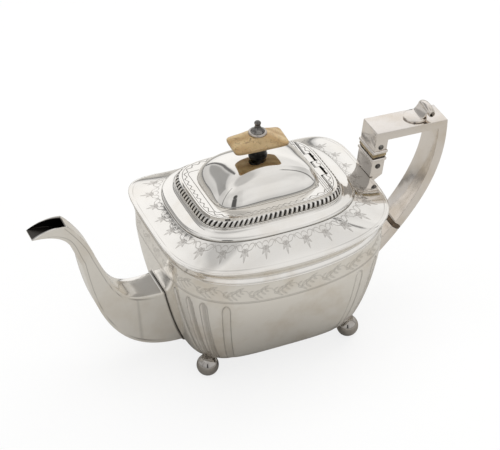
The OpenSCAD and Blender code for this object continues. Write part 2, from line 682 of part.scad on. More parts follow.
// ---- lower socket ----
lower_gap = 0.022;
insulator_t0 = joint_t + 0.002;
insulator_t1 = joint_t + lower_gap;
socket_t0 = insulator_t1 + 0.002;
lug_top = lug_z + 13.5;
lug_low = lug_z - 2.5;
lower_pin = [lug_x - 1.5, lug_z + 7.1];
module lower_insulator() {
    color(ivory)
        across([inside(insulator_t0, -0.1), inside(insulator_t1, -0.1), inside(insulator_t1, handle_t + 0.1),
            inside(insulator_t0, handle_t + 0.1)], handle_w + 0.2);
}
module lower_socket() {
    outer = [for (i = [0:6]) inside(mix(socket_t0, 1, i / 6), 0)];
    wall = [for (i = [0:6]) let(z = mix(lug_low, lug_top, i / 6)) [end_x(z) + wall_seam, z]];
    color(silver)
        difference() {
            across(concat(outer, wall, [inside(0.94, handle_t + 1), inside(socket_t0, handle_t)]), handle_w);
            cross_pin(lower_pin[0], lower_pin[1], 0.9, handle_w + 2);
        }
}
module lower_pin() {
    color(dark) cross_pin(lower_pin[0], lower_pin[1], 0.9, handle_w + 0.6);
}

module placed() {
    translate([shift, 0, 0]) children();
}

placed() body_shell();
placed() base_plate();
placed() shoulder();
placed() rim_moulding();
placed() belt_bead();
placed() collar();
placed() gadroon_border();
placed() hinge_leaf();
placed() hinge_pin();
placed() lid_plate();
placed() lid_bezel();
placed() lid_dome();
placed() finial_pedestal();
placed() finial_plaque();
placed() finial_disc();
placed() finial_bud();
placed() finial_stud();
placed() finial_nut();
placed() spout();
placed() foot_spout_front();
placed() foot_spout_back();
placed() foot_handle_front();
placed() foot_handle_back();
placed() upper_socket();
placed() upper_insulator();
placed() handle_frame();
placed() post_moulding();
placed() thumbpiece();
placed() post_pin();
placed() socket_pin();
placed() lower_socket();
placed() lower_insulator();
placed() lower_pin();
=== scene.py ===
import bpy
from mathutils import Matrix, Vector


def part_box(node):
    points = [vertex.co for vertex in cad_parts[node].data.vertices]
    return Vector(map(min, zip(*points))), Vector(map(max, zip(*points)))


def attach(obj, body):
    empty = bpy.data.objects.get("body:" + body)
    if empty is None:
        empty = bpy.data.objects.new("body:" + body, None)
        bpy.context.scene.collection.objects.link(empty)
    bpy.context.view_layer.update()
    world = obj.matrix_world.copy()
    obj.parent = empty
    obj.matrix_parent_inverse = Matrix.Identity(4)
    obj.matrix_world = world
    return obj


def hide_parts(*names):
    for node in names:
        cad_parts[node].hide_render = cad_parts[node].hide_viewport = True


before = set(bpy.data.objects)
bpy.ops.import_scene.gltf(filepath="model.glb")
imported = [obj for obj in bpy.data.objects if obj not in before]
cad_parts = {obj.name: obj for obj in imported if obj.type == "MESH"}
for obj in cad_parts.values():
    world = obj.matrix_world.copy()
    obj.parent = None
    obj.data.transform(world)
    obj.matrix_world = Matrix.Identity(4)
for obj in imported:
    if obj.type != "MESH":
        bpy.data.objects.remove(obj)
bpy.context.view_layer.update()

import math

import bpy
import numpy as np
from mathutils import Matrix, Vector

# ---- camera ----
# A long lens looks down on the pot from the front left. It stands 1.3 m away, so that the far end of the pot
# looks hardly smaller than the near one.
AZIMUTH, ELEVATION, ROLL = (math.radians(angle) for angle in (-23.22, 36.21, -0.29))
back = Vector((math.sin(AZIMUTH) * math.cos(ELEVATION), -math.cos(AZIMUTH) * math.cos(ELEVATION),
               math.sin(ELEVATION)))
level = Vector((math.cos(AZIMUTH), math.sin(AZIMUTH), 0))
right = math.cos(ROLL) * level + math.sin(ROLL) * back.cross(level)


def put(name, data):
    """A new object in the scene."""
    obj = bpy.data.objects.new(name, data)
    bpy.context.scene.collection.objects.link(obj)
    return obj


lens = bpy.data.cameras.new("camera")
lens.lens = 140.85
lens.sensor_width = 36
lens.sensor_fit = "HORIZONTAL"
lens.clip_end = 20
camera = put("camera", lens)
camera.matrix_world = Matrix((right, back.cross(right), back)).transposed().to_4x4()
camera.location = (-0.3984, -0.9418, 0.8344)
bpy.context.scene.camera = camera
bpy.context.scene.view_settings.view_transform = "Standard"

# ---- room ----
# The room shows only in the silver: plain walls, a pale ceiling, a bright window wall behind on the right,
# dark screens, and the lens on its stand. Straight to the eye, and through glass, everything is white.
WALLS = 0.7
# each is a grey, two bearings from the back towards the right, two heights, and a soft edge, all in degrees
ZONES = (
    (0.80, (105, 200), (10, 60), 4),  # front wall, right half
    (0.74, (-200, -105), (10, 60), 4),  # front wall, left half
    (0.90, (-200, 200), (54, 95), 5),  # ceiling
    (0.62, (-200, 200), (74, 95), 3),  # its middle, in shade
    (1.0, (-10, 72), (6, 66), 1.5),  # window wall
    (0.36, (-72, -18), (20, 48), 2.0),  # screen beside the window
    (0.22, (-200, 200), (-1.5, 2.5), 0.6),  # far edge of the table
    (0.12, (-15.5, -11), (4, 58), 0.7),  # the window's dark frame
    (0.05, (-165, -149), (3, 31), 1.5),  # the lens's stand
    (0.15, (97, 103), (4, 66), 1),  # corner of the room on the right
    (0.15, (-104, -100), (4, 66), 1),  # corner of the room on the left
)
LENS_SPOT, LENS_EDGE = 5.5, 7.5  # half angles of the dark lens and of its soft edge, in degrees


def linear(code):
    """An sRGB hex colour as linear red, green, blue and alpha."""
    parts = [int(code[i:i + 2], 16) / 255 for i in (0, 2, 4)]
    return [c / 12.92 if c <= 0.04045 else ((c + 0.055) / 1.055) ** 2.4 for c in parts] + [1]


def add(tree, kind, *links, **settings):
    """Adds a shader node. Links fill its sockets in order, each a plain value or a (socket name, value)
    pair, and a node stands for its first output."""
    made = tree.nodes.new("ShaderNode" + kind)
    for key, value in settings.items():
        setattr(made, key, value)
    for place, link in enumerate(links):
        socket, value = link if isinstance(link, tuple) and isinstance(link[0], str) else (place, link)
        if isinstance(value, bpy.types.Node):
            value = value.outputs[0]
        if isinstance(value, bpy.types.NodeSocket):
            tree.links.new(value, made.inputs[socket])
        else:
            made.inputs[socket].default_value = value
    return made


def between(tree, value, low, high, soft):
    """1 where an angle lies between two angles in degrees, with soft edges."""
    low, high, soft = (math.radians(angle) for angle in (low, high, soft))
    rise = add(tree, "MapRange", value, low - soft, low + soft, 0.0, 1.0)
    fall = add(tree, "MapRange", value, high - soft, high + soft, 1.0, 0.0)
    return add(tree, "Math", rise, fall, operation="MULTIPLY")


def sight(tree, in_polish):
    """1 for what is seen straight or through glass, and that again with a share for what polish mirrors."""
    path = add(tree, "LightPath")
    camera_ray, glass_ray = path.outputs["Is Camera Ray"], path.outputs["Is Transmission Ray"]
    straight = add(tree, "Math", camera_ray, glass_ray, operation="MAXIMUM")
    polish = add(tree, "Math", path.outputs["Is Glossy Ray"], in_polish, operation="MULTIPLY")
    return straight, add(tree, "Math", straight, polish, operation="MAXIMUM")


world = bpy.data.worlds.new("studio")
bpy.context.scene.world = world
world.use_nodes = True
tree = world.node_tree
tree.nodes.clear()
place = add(tree, "TexCoord").outputs["Generated"]
split = add(tree, "SeparateXYZ", place)
bearing = add(tree, "Math", split.outputs["X"], split.outputs["Y"], operation="ARCTAN2")
height = add(tree, "Math", split.outputs["Z"], operation="ARCSINE")
shade = add(tree, "Value")
shade.outputs[0].default_value = WALLS
for grey, bearings, heights, soft in ZONES:
    across = between(tree, bearing, *bearings, soft)
    up = between(tree, height, *heights, soft)
    inside_zone = add(tree, "Math", across, up, operation="MULTIPLY")
    shade = add(tree, "MixRGB", inside_zone, shade, (grey, grey, grey, 1))
drift = add(tree, "TexNoise", ("Vector", place), ("Scale", 1.6), ("Detail", 2.0))
drift = add(tree, "MapRange", drift, 0.35, 0.65, 0.86, 1.08)
shade = add(tree, "VectorMath", shade, drift, operation="MULTIPLY")
towards = add(tree, "VectorMath", place, tuple(back), operation="DOT_PRODUCT").outputs["Value"]
outer_edge, inner_edge = (math.cos(math.radians(angle)) for angle in (LENS_EDGE, LENS_SPOT))
lens_spot = add(tree, "MapRange", towards, outer_edge, inner_edge, 0.0, 1.0)
shade = add(tree, "MixRGB", lens_spot, shade, (0.03, 0.03, 0.03, 1))
room = add(tree, "Background", shade, 1.0)
white = add(tree, "Background", (1, 1, 1, 1), 1.0)
straight, plain = sight(tree, 0.06)
add(tree, "OutputWorld", add(tree, "MixShader", plain, room, white))

# ---- floor and lamps ----
# A sheet of white paper lies under the pot. A wide soft lamp hangs over it and a smaller one stands behind
# on the right. The silver doesn't mirror the lamps, only the room.


def material(name):
    """A new material and its node tree, which starts empty."""
    made = bpy.data.materials.new(name)
    made.use_nodes = True
    made.node_tree.nodes.clear()
    return made, made.node_tree


bpy.ops.object.select_all(action="DESELECT")
bpy.ops.mesh.primitive_plane_add(size=8, location=(0, 0, 0))
floor = bpy.context.object
floor.name = "floor"
# uncoated paper, pressed between rollers: fibres about 1.1 mm long break its white a little. The eye sees
# it lit near white, and the silver and the light it throws back see a painted shaded copy in grey
paper, tree = material("white_paper_floor")
fibres = add(tree, "TexNoise", ("Vector", add(tree, "TexCoord").outputs["Object"]), ("Scale", 900.0),
             ("Detail", 3.0))
lit = add(tree, "ValToRGB", fibres)
lit.color_ramp.elements[0].color = linear("F9F9F8")
lit.color_ramp.elements[1].color = linear("FFFFFE")
# painted shade: a greyer copy of the paper, for what the silver mirrors and what it bounces
shaded = add(tree, "MixRGB", fibres, linear("C3C0BA"), linear("CECBC5"))
straight, plain = sight(tree, 0.1)
matte = add(tree, "BsdfDiffuse", add(tree, "MixRGB", plain, shaded, lit))
glow = add(tree, "Emission", (1, 1, 1, 1), 1.0)
glow_share = add(tree, "Math", straight, 0.8, operation="MULTIPLY")
add(tree, "OutputMaterial", add(tree, "MixShader", glow_share, matte, glow))
floor.data.materials.append(paper)

for name, spot, aim, size, watts in (
    ("overhead_lamp", (0.05, 0.15, 1.15), (0, 0, 0.05), (0.9, 0.7), 4.4),
    ("right_lamp", (1.0, 0.55, 0.75), (0, 0, 0.08), (0.7, 0.7), 2.4),
):
    lamp = bpy.data.lights.new(name, "AREA")
    lamp.shape = "RECTANGLE"
    lamp.size, lamp.size_y = size
    lamp.energy = watts
    holder = put(name, lamp)
    holder.location = spot
    holder.visible_glossy = False
    holder.rotation_euler = (Vector(aim) - Vector(spot)).to_track_quat("-Z", "Y").to_euler()

# ---- body shell ----
# The pot is raised from one sheet of sterling silver: an oblong bowl with rounded corners, four lancet
# flutes chased into each corner, and a bright-cut band of leaves round the top. Strainer holes are drilled
# behind the spout. Sizes are in mm, and heights are over the table.
MIDDLE_X = 0.0112  # the pot's own middle, from the middle of the whole length, in m
RIM_A, RIM_B, RIM_Z, RIM_SHEER = 76, 61, 94.3, 10.8  # half length, half width, height and rise of the ends
WALL_A, WALL_B, WALL_N = 73.8, 59.8, 4  # the wall at the leaf band, and how square its corners are
BASE_A, BASE_B, BASE_N, BASE_Z = 57, 44, 3.9, 14.5
BAND_Z, BELT_Z, BELT_SHEER = 68.5, 83.4, 14.5  # the leaf band starts, and the bead over it with its rise
NECK_H = 9.25  # from the bead up to the rim
BELLY = 1.35  # how full the wall's curve is
SHEET = 1.8  # thickness of the body and the dome
FLUTES = ((25, 6), (33.5, 2.4), (40.6, 0), (51, -2.2))  # bearing at the band, and its change at the foot
PLAIN_FLUTE = 3  # the last one is left bright, and the others are matted with a punch
FLUTE_END, FLUTE_POINT = 0.86, 0.085  # where a flute starts to close, and its point, as shares of the height
FLUTE_DEPTH, FLUTE_FOOT_HALF, FLUTE_TOP_HALF = 1.0, 2.1, 2.4
SPRIGS = 28
STRAINER_ROWS, STRAINER_PITCH, STRAINER_STEP, STRAINER_R = 4, 4.6, 6.5, 1.4
COLUMNS = 960


def radius(a, b, n, p):
    """How far out a rounded oblong lies at bearing p, by its half length a, half width b and squareness n."""
    return ((np.abs(np.cos(p)) / a) ** n + (np.abs(np.sin(p)) / b) ** n) ** (-1 / n)


def even_angles(a, b, n, count):
    """Bearings that divide a rounded oblong into equal lengths, and its whole length."""
    p = np.linspace(0, 2 * np.pi, 7201)
    r = radius(a, b, n, p)
    run = np.append(0, np.cumsum(np.hypot(np.diff(r * np.cos(p)), np.diff(r * np.sin(p)))))
    return np.interp(np.arange(count) * run[-1] / count, run, p), run[-1]


def ring(a, b, n, z, rise, p, out=0):
    """One level of the pot: a rounded oblong whose ends stand higher than its sides by about rise."""
    r = radius(a, b, n, p) + out
    x, y = r * np.cos(p), r * np.sin(p)
    return np.stack([x, y, z + rise * (x / RIM_A) ** 2], 1)


def loft(name, rings, closed=False, marks=None, caps=False):
    """A skin over rings of points, which run up the outside. marks are named values per point."""
    m, k = len(rings), len(rings[0])
    points = np.concatenate(rings) / 1000 + (MIDDLE_X, 0, 0)
    j = np.arange(k)
    quads = []
    for i in range(m if closed else m - 1):
        a, b = i * k, ((i + 1) % m) * k
        quads.append(np.stack([a + j, a + (j + 1) % k, b + (j + 1) % k, b + j], 1))
    faces = np.concatenate(quads).tolist()
    if caps:
        faces += [j[::-1].tolist(), ((m - 1) * k + j).tolist()]
    mesh = bpy.data.meshes.new(name)
    mesh.from_pydata(points.tolist(), [], faces)
    for key, values in (marks or {}).items():
        layer = mesh.attributes.new(key, "FLOAT", "POINT")
        layer.data.foreach_set("value", np.asarray(values, np.float32).ravel())
    return put(name, mesh)


def pick(obj):
    """Selects one piece and nothing else."""
    bpy.ops.object.select_all(action="DESELECT")
    obj.select_set(True)
    bpy.context.view_layer.objects.active = obj


def smooth(obj, degrees=35):
    """Smooth shading that keeps edges sharper than an angle."""
    pick(obj)
    bpy.ops.object.shade_smooth_by_angle(angle=math.radians(degrees))


def coat(obj, finish):
    """Gives a piece one material."""
    obj.data.materials.clear()
    obj.data.materials.append(finish)


def fit(obj, body, slot, finish, *nodes):
    """Gives a finished piece its material and its place in the assembly."""
    coat(obj, finish)
    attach(obj, body)
    if nodes:
        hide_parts(*nodes)


LEAF_STEPS = 9


def leaf(x, y, turn, length, width):
    """The outline of one cut leaf, out along one edge and back along the other, from its foot at x, y."""
    s = np.linspace(0, 1, LEAF_STEPS)
    side = width / 2 * np.sin(np.pi * s ** 0.8)
    along = np.concatenate([s, s[::-1]]) * length
    across = np.concatenate([side, -side[::-1]])
    c, d = math.cos(math.radians(turn)), math.sin(math.radians(turn))
    return np.stack([x + along * c - across * d, y + along * d + across * c], 1)


def engrave(u, v, strokes, width):
    """How deep the graver went at points u, v: 1 on a stroke and 0 beside it."""
    q = np.stack([u, v], -1).reshape(-1, 2)
    near = np.full(len(q), 1e9)
    for stroke in strokes:
        stroke = np.asarray(stroke, float)
        for a, b in zip(stroke[:-1], stroke[1:]):
            run = b - a
            t = np.clip(((q - a) @ run) / max(run @ run, 1e-9), 0, 1)
            near = np.minimum(near, np.hypot(*(q - a - t[:, None] * run).T))
    return np.clip(1.5 - near / width, 0, 1).reshape(np.shape(u))


def line(distance, width, strength=1.2):
    """One straight cut: 1 along it, and 0 from strength times its width on."""
    return np.clip(strength - np.abs(distance) / width, 0, 1)


# how far apart wipe marks lie, how wide patches of tarnish are, and how far apart punch dots lie, in mm. Real
# wipe marks are about 0.05 mm apart, too fine to show, so they are drawn coarser.
WIPES, BLOOM, PUNCH = 0.7, 26, 0.75


def silver(name, dents, tarnish, rough, clear="F1EEE9", grime_and_shade="4E4943", depth=0.72, border=None):
    """Sterling silver, 925 parts in 1000, planished and polished. dents is the size in mm of the slow waves
    that the hammer leaves, and tarnish the strength of the warm bloom. grime_and_shade is the colour of
    the old polish in the cuts and of the painted shade in corners and gaps, depth how thickly it lies,
    and border a function that adds a pattern of its own."""
    made, tree = material(name)
    place = add(tree, "TexCoord").outputs["Object"]
    waves = add(tree, "TexNoise", ("Vector", place), ("Scale", 1000 / dents), ("Detail", 2.0))
    wipes = add(tree, "TexNoise", ("Vector", place), ("Scale", 1000 / WIPES), ("Detail", 4.0))
    bloom = add(tree, "TexNoise", ("Vector", place), ("Scale", 1000 / BLOOM), ("Detail", 4.0),
                ("Roughness", 0.6))
    patch = add(tree, "MapRange", bloom, 0.48, 0.74, 0.0, tarnish)
    clean = add(tree, "MixRGB", patch, linear(clear), linear("C9B79C"))
    # the engraved mark carries real cuts and, on some pieces, painted shade in corners and gaps
    cut = add(tree, "Attribute", attribute_name="engraved").outputs["Fac"]
    dirt_and_shade = add(tree, "Math", cut, depth, operation="MULTIPLY")
    colour = add(tree, "MixRGB", dirt_and_shade, clean, linear(grime_and_shade))
    matt = add(tree, "Attribute", attribute_name="matted").outputs["Fac"]
    dots = add(tree, "TexVoronoi", ("Vector", place), ("Scale", 1000 / PUNCH))
    punched = add(tree, "Math", dots, matt, operation="MULTIPLY")
    shade = add(tree, "Math", matt, 0.35, operation="MULTIPLY")
    colour = add(tree, "MixRGB", shade, colour, linear("77736C"))
    dull = add(tree, "MapRange", wipes, 0.3, 0.8, rough * 0.85, rough * 1.25)
    dull = add(tree, "Math", matt, 0.3, dull, operation="MULTIPLY_ADD")
    dull = add(tree, "Math", cut, 0.25, dull, operation="MULTIPLY_ADD")
    bump = add(tree, "Bump", ("Strength", 0.5), ("Distance", 0.0004), ("Height", waves))
    bump = add(tree, "Bump", ("Strength", 0.6), ("Distance", 0.0002), ("Height", punched), ("Normal", bump))
    if border:
        colour, bump = border(tree, place, colour, bump)
    skin = add(tree, "BsdfPrincipled", ("Base Color", colour), ("Metallic", 1.0), ("Roughness", dull),
               ("Normal", bump))
    add(tree, "OutputMaterial", skin)
    return made


def swell(t):
    """How far the wall has swelled out, 0 at the foot and 1 at the leaf band."""
    return (1 - (1 - t) ** BELLY) ** (1 / BELLY)


def wall_ring(t, p, thick=0, out=0):
    """The wall at share t of the height from foot to band, thick inside its outer face."""
    return ring(BASE_A - thick + (WALL_A - BASE_A) * swell(t), BASE_B - thick + (WALL_B - BASE_B) * swell(t),
                BASE_N + (WALL_N - BASE_N) * t, BASE_Z + (BAND_Z - BASE_Z) * t, BELT_SHEER * t, p, out)


p, girth = even_angles(WALL_A, WALL_B, WALL_N, COLUMNS)
u = np.arange(COLUMNS) * girth / COLUMNS
quarter = np.degrees(np.abs((p + np.pi / 2) % np.pi - np.pi / 2))
nothing = np.zeros(COLUMNS)
rings, engraved, matted = [], [], []
for t in np.concatenate([np.linspace(0, 0.8, 24), np.linspace(0.815, 1, 13)]):
    r = np.hypot(*wall_ring(t, p)[:, :2].T)
    half = FLUTE_FOOT_HALF + (FLUTE_TOP_HALF - FLUTE_FOOT_HALF) * t
    if t > FLUTE_END:
        half *= math.sqrt(max(0, 1 - ((t - FLUTE_END) / FLUTE_POINT) ** 2))
    hollow, cut, matt = nothing.copy(), nothing.copy(), nothing.copy()
    for number, (angle, spread) in enumerate(FLUTES):
        off = np.radians(np.abs(quarter - (angle + spread * (1 - t)))) * r
        if half > 0.05:
            groove = np.clip(1 - (off / half) ** 2, 0, 1)
            hollow += groove
            cut = np.maximum(cut, line(off - half, 0.28, 1.4) * 0.9)
            if number != PLAIN_FLUTE:
                matt = np.maximum(matt, np.clip(groove * 2.4 - 1.1, 0, 1))
    rings.append(wall_ring(t, p, 0, -FLUTE_DEPTH * hollow * min(1, t / 0.06 + 0.3)))
    engraved.append(cut + (0.8 if t > 0.995 else 0))
    matted.append(matt)

stem = [(-8.2, 1.8), (-6, -1.4), (-3, -2.2), (0, -0.4), (3, 1.8), (6, 2.2), (8.2, 1.8)]
sprig = [stem]
for x, y, size in ((-6.4, -1.0, 3.6), (-4, -2.0, 5.2), (-1.2, -1.2, 5.4), (1.6, 0.8, 4.4), (4.2, 2.0, 3.4)):
    sprig += [leaf(x, y, 46, size, 1.9)[:LEAF_STEPS], leaf(x, y, -46, size, 1.9)[LEAF_STEPS:]]
    sprig += [[(x, y), (x + size * 0.6, y + side * size * 0.62)] for side in (1, -1)]
pitch = girth / SPRIGS
for g in np.linspace(0.03, 1, 42):
    rings.append(ring(WALL_A, WALL_B, WALL_N, BAND_Z + (BELT_Z - BAND_Z) * g, BELT_SHEER, p))
    up = np.full(COLUMNS, (g - 0.5) * (BELT_Z - BAND_Z))
    cut = 0.62 * engrave((u % pitch) - pitch / 2, up, sprig, 0.2)
    # a cut line along the foot of the band, and painted shade in the rows just under the bead wire
    if abs(g - 0.05) < 0.02 or g > 0.95:
        cut = np.maximum(cut, 0.8)
    rings[-1][:, :2] *= 1 - 0.0016 * cut[:, None]
    engraved.append(cut)
    matted.append(nothing)


def neck_out(g):
    """How far the neck stands out from the wall: in over the bead, and then in a curve out to the rim."""
    step, low, high = 0.36, -1.41, 1.6
    if g < step:
        return 1.0 - 6.7 * g
    h = (g - step) / (1 - step)
    return (1 - h) ** 2 * (low - 7.1 * h) + h * h * (high + 5.5 * (1 - h))


for g in np.linspace(0.04, 1, 14):
    flare = neck_out(g)
    rings.append(ring(WALL_A + flare, WALL_B + flare * 0.8, WALL_N, BELT_Z + NECK_H * g,
                      BELT_SHEER + (RIM_SHEER - BELT_SHEER) * g, p))
    # painted shade over the bead wire, fading up the neck
    engraved.append(np.full(COLUMNS, max(0.0, 1 - g / 0.16)))
    matted.append(nothing)
inner = [ring(WALL_A - 2.6, WALL_B - 2.6, WALL_N, BELT_Z + NECK_H, RIM_SHEER, p)]
inner += [wall_ring(t, p, SHEET) for t in (1, 0.8, 0.6, 0.4, 0.2, 0.08, 0)]
rings += inner
engraved += [nothing] * len(inner)
matted += [nothing] * len(inner)
body = loft("body", rings, True, {"engraved": engraved, "matted": matted})
for row in range(STRAINER_ROWS):
    for side in (-1, 0, 1):
        bpy.ops.object.select_all(action="DESELECT")
        bpy.ops.mesh.primitive_cylinder_add(
            vertices=20, radius=STRAINER_R / 1000, depth=0.03, rotation=(0, math.pi / 2, 0),
            location=(MIDDLE_X - RIM_A / 1000 + 0.015, side * STRAINER_PITCH / 1000,
                      (BASE_Z + 11.5 + STRAINER_STEP * row) / 1000))
        drill = bpy.context.object
        hole = body.modifiers.new("hole", "BOOLEAN")
        hole.object = drill
        hole.solver = "EXACT"
        bpy.context.view_layer.objects.active = body
        bpy.ops.object.modifier_apply(modifier="hole")
        bpy.data.objects.remove(drill)
smooth(body, 40)
# raised and planished: long soft waves bend the room, and the bloom warms the shaded side
# its dark cut colour also paints the shade on both sides of the bead wire
body_silver = silver("sterling_silver_body", dents=16, tarnish=0.4, rough=0.11, grime_and_shade="57504A", depth=0.6)
fit(body, "pot", "silver", body_silver, "body_shell")

# ---- base plate and bead ----
# A flat plate of the same silver is let into the foot of the shell. A fine drawn wire is soldered round the
# wall over the leaf band.
BEAD_HALF_W, BEAD_HALF_H = 0.75, 0.65
# drawn or rolled flat and buffed bright: nearly even, with little left for tarnish to hold to
plain_silver = silver("sterling_silver_plain", dents=18, tarnish=0.25, rough=0.1)
coat(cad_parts["base_plate"], plain_silver)


def wire(name, a, b, n, z, rise, p, half_w, half_h):
    """A round wire laid along a rounded oblong."""
    turns = np.linspace(-np.pi / 2, 1.5 * np.pi, 14)[:-1]
    rings = []
    for s in turns:
        out, up = half_w * math.cos(s), half_h * math.sin(s)
        rings.append(ring(a + out, b + out, n, z + up, rise, p))
    return loft(name, rings, True)


q, _ = even_angles(WALL_A, WALL_B, WALL_N, 480)
bead = wire("belt_bead_wire", WALL_A + 0.35, WALL_B + 0.35, WALL_N, BELT_Z, BELT_SHEER, q,
            BEAD_HALF_W, BEAD_HALF_H)
smooth(bead, 60)
fit(bead, "pot", "silver", plain_silver, "belt_bead")

# ---- shoulder and rim ----
# The shoulder is a separate sheet, slightly hollow, with a bright-cut garland near its edge and a fine line
# outside it. A drawn wire covers the joint with the body, and the two are soldered together.
RIM_N = 4.3
COLLAR_A, COLLAR_B, COLLAR_N, COLLAR_Z = 60.3, 47.5, 2.9, 108.7  # where the collar's foot stands
SHOULDER_T = 1.4
GARLANDS, GARLAND_W = 29, 12.0
EDGE_LINE = 2.0
SHOULDER_COLUMNS = 1500
RIM_HALF_W, RIM_HALF_H = 0.85, 0.75


def shoulder_ring(f, p, drop=0, inset=0):
    """One ring of the shoulder, from the rim at f = 0 up to the collar at f = 1."""
    z = RIM_Z + (COLLAR_Z - RIM_Z) * f ** 0.92 - drop
    return ring(RIM_A + (COLLAR_A - RIM_A) * f - inset, RIM_B + (COLLAR_B - RIM_B) * f - inset,
                RIM_N + (COLLAR_N - RIM_N) * f, z, RIM_SHEER * (1 - f), p)


p, girth = even_angles(RIM_A - 9, RIM_B - 6, 3.5, SHOULDER_COLUMNS)
u = np.arange(SHOULDER_COLUMNS) * girth / SHOULDER_COLUMNS
pitch = girth / GARLANDS
s = np.linspace(-0.5, 0.5, 65)
garland = [np.stack([s * pitch + 0.9 * np.sin(6 * np.pi * s), 1.9 - 0.9 * np.cos(6 * np.pi * s)], 1),
           [(-pitch / 2, 1.2), (-4.5, 3.4), (-2, 3.9), (0, 3.0), (2, 3.9), (4.5, 3.4), (pitch / 2, 1.2)]]
for turn, size in ((90, 4.8), (45, 3.6), (135, 3.6), (8, 2.4), (172, 2.4)):
    c, d = math.cos(math.radians(turn)), math.sin(math.radians(turn))
    garland += [leaf(0, 3.4, turn, size, 1.3), [(0, 3.4), (c * size * 0.8, 3.4 + d * size * 0.8)]]
width = np.linalg.norm(shoulder_ring(0, p) - shoulder_ring(1, p), axis=1)
rings, engraved = [], []
for f in np.concatenate([np.linspace(0, 0.3, 14), np.linspace(0.315, 1, 42)]):
    rings.append(shoulder_ring(f, p))
    v = (1 - f) * width * (GARLAND_W / np.maximum(width, GARLAND_W))
    cut = 0.85 * engrave((u % pitch) - pitch / 2, v, garland, 0.15)
    cut = np.maximum(cut, line(f * width - EDGE_LINE, 0.16, 1.3) * 0.6)
    rings[-1][:, 2] -= 0.05 * cut
    engraved.append(cut)
under = [shoulder_ring(1, p, 0, 1.6)]
under += [shoulder_ring(f, p, SHOULDER_T, inset) for f, inset in ((1, 0), (0.5, 1.2), (0.12, 1.2), (0, 1.2))]
rings += under
engraved += [np.zeros(SHOULDER_COLUMNS)] * len(under)
shoulder = loft("shoulder_sheet", rings, True, {"engraved": engraved})
smooth(shoulder, 40)
# rolled, cut and burnished: the smoothest outer face, with thin brown-grey polish left in the garland
shoulder_silver = silver("sterling_silver_shoulder", dents=22, tarnish=0.15, rough=0.08, grime_and_shade="6B6259",
                         depth=0.6)
fit(shoulder, "pot", "silver", shoulder_silver, "shoulder")
q, _ = even_angles(RIM_A, RIM_B, RIM_N, 480)
rim = wire("rim_wire", RIM_A + 0.1, RIM_B + 0.1, RIM_N, RIM_Z - 0.65, RIM_SHEER, q, RIM_HALF_W, RIM_HALF_H)
smooth(rim, 60)
fit(rim, "pot", "silver", plain_silver, "rim_moulding")

# ---- collar ----
# A hollow collar of sheet silver, raised in one long cove, stands between the shoulder and the lid. Its top
# turns inwards as a ledge for the lid, round the pot's mouth, and its foot is soldered to the shoulder.
GAD_A, GAD_B, GAD_Z = 49.3, 38.2, 113.6  # where the gadroon border stands on it
LID_N, LID_Z = 4.4, 119.3
SEAT_Z = LID_Z - 1.45
MOUTH_A, MOUTH_B, MOUTH_N = 44, 31.2, 5
LEDGE_T = 1.2
SOLE_A, SOLE_B, SOLE_N = 54.1, 42.4, 3.4  # the inner edge of its foot
# the cove's outline: share of the way in from the foot to the border, and height over the foot
COVE = ((0, 0.05), (0.004, 0.4), (0.014, 0.8), (0.035, 1.2), (0.07, 1.55), (0.12, 1.85), (0.2, 2.15),
        (0.32, 2.45), (0.45, 2.7), (0.58, 2.95), (0.7, 3.2), (0.8, 3.5), (0.87, 3.8), (0.93, 4.15),
        (0.97, 4.5), (1, 4.9))
q, _ = even_angles(GAD_A, GAD_B, LID_N, 480)
rings = [ring(COLLAR_A + (GAD_A - COLLAR_A) * f, COLLAR_B + (GAD_B - COLLAR_B) * f,
              COLLAR_N + (LID_N - COLLAR_N) * f, COLLAR_Z + lift, 0, q) for f, lift in COVE]
for a, b, n, z in ((GAD_A - 2.5, GAD_B - 2.5, LID_N, GAD_Z), (GAD_A - 2.5, GAD_B - 2.5, LID_N, SEAT_Z),
                   (MOUTH_A, MOUTH_B, MOUTH_N, SEAT_Z), (MOUTH_A, MOUTH_B, MOUTH_N, SEAT_Z - LEDGE_T),
                   (GAD_A - 3.9, GAD_B - 3.9, LID_N, SEAT_Z - LEDGE_T),
                   (GAD_A - 3.9, GAD_B - 3.9, LID_N, GAD_Z - LEDGE_T),
                   (SOLE_A, SOLE_B, SOLE_N, COLLAR_Z + 0.05)):
    rings.append(ring(a, b, n, z, 0, q))
# painted shade along the foot and the top edge of the cove, where it meets the shoulder and the border
painted_edge_shade = (1, 0.8, 0.35) + (0,) * (len(COVE) - 5) + (0.5, 1)  # along both edges of the cove
painted_edge_shade += (0,) * (len(rings) - len(COVE))
engraved = [np.full(len(q), share) for share in painted_edge_shade]
collar = loft("collar_sheet", rings, True, {"engraved": engraved})
smooth(collar, 40)
# raised and burnished: a mirror in its hollow, and near-black painted shade in the corners where it meets the
# shoulder and the border
collar_silver = silver("sterling_silver_collar", dents=18, tarnish=0.25, rough=0.08, grime_and_shade="2A2521",
                       depth=0.85)
fit(collar, "pot", "silver", collar_silver, "collar")

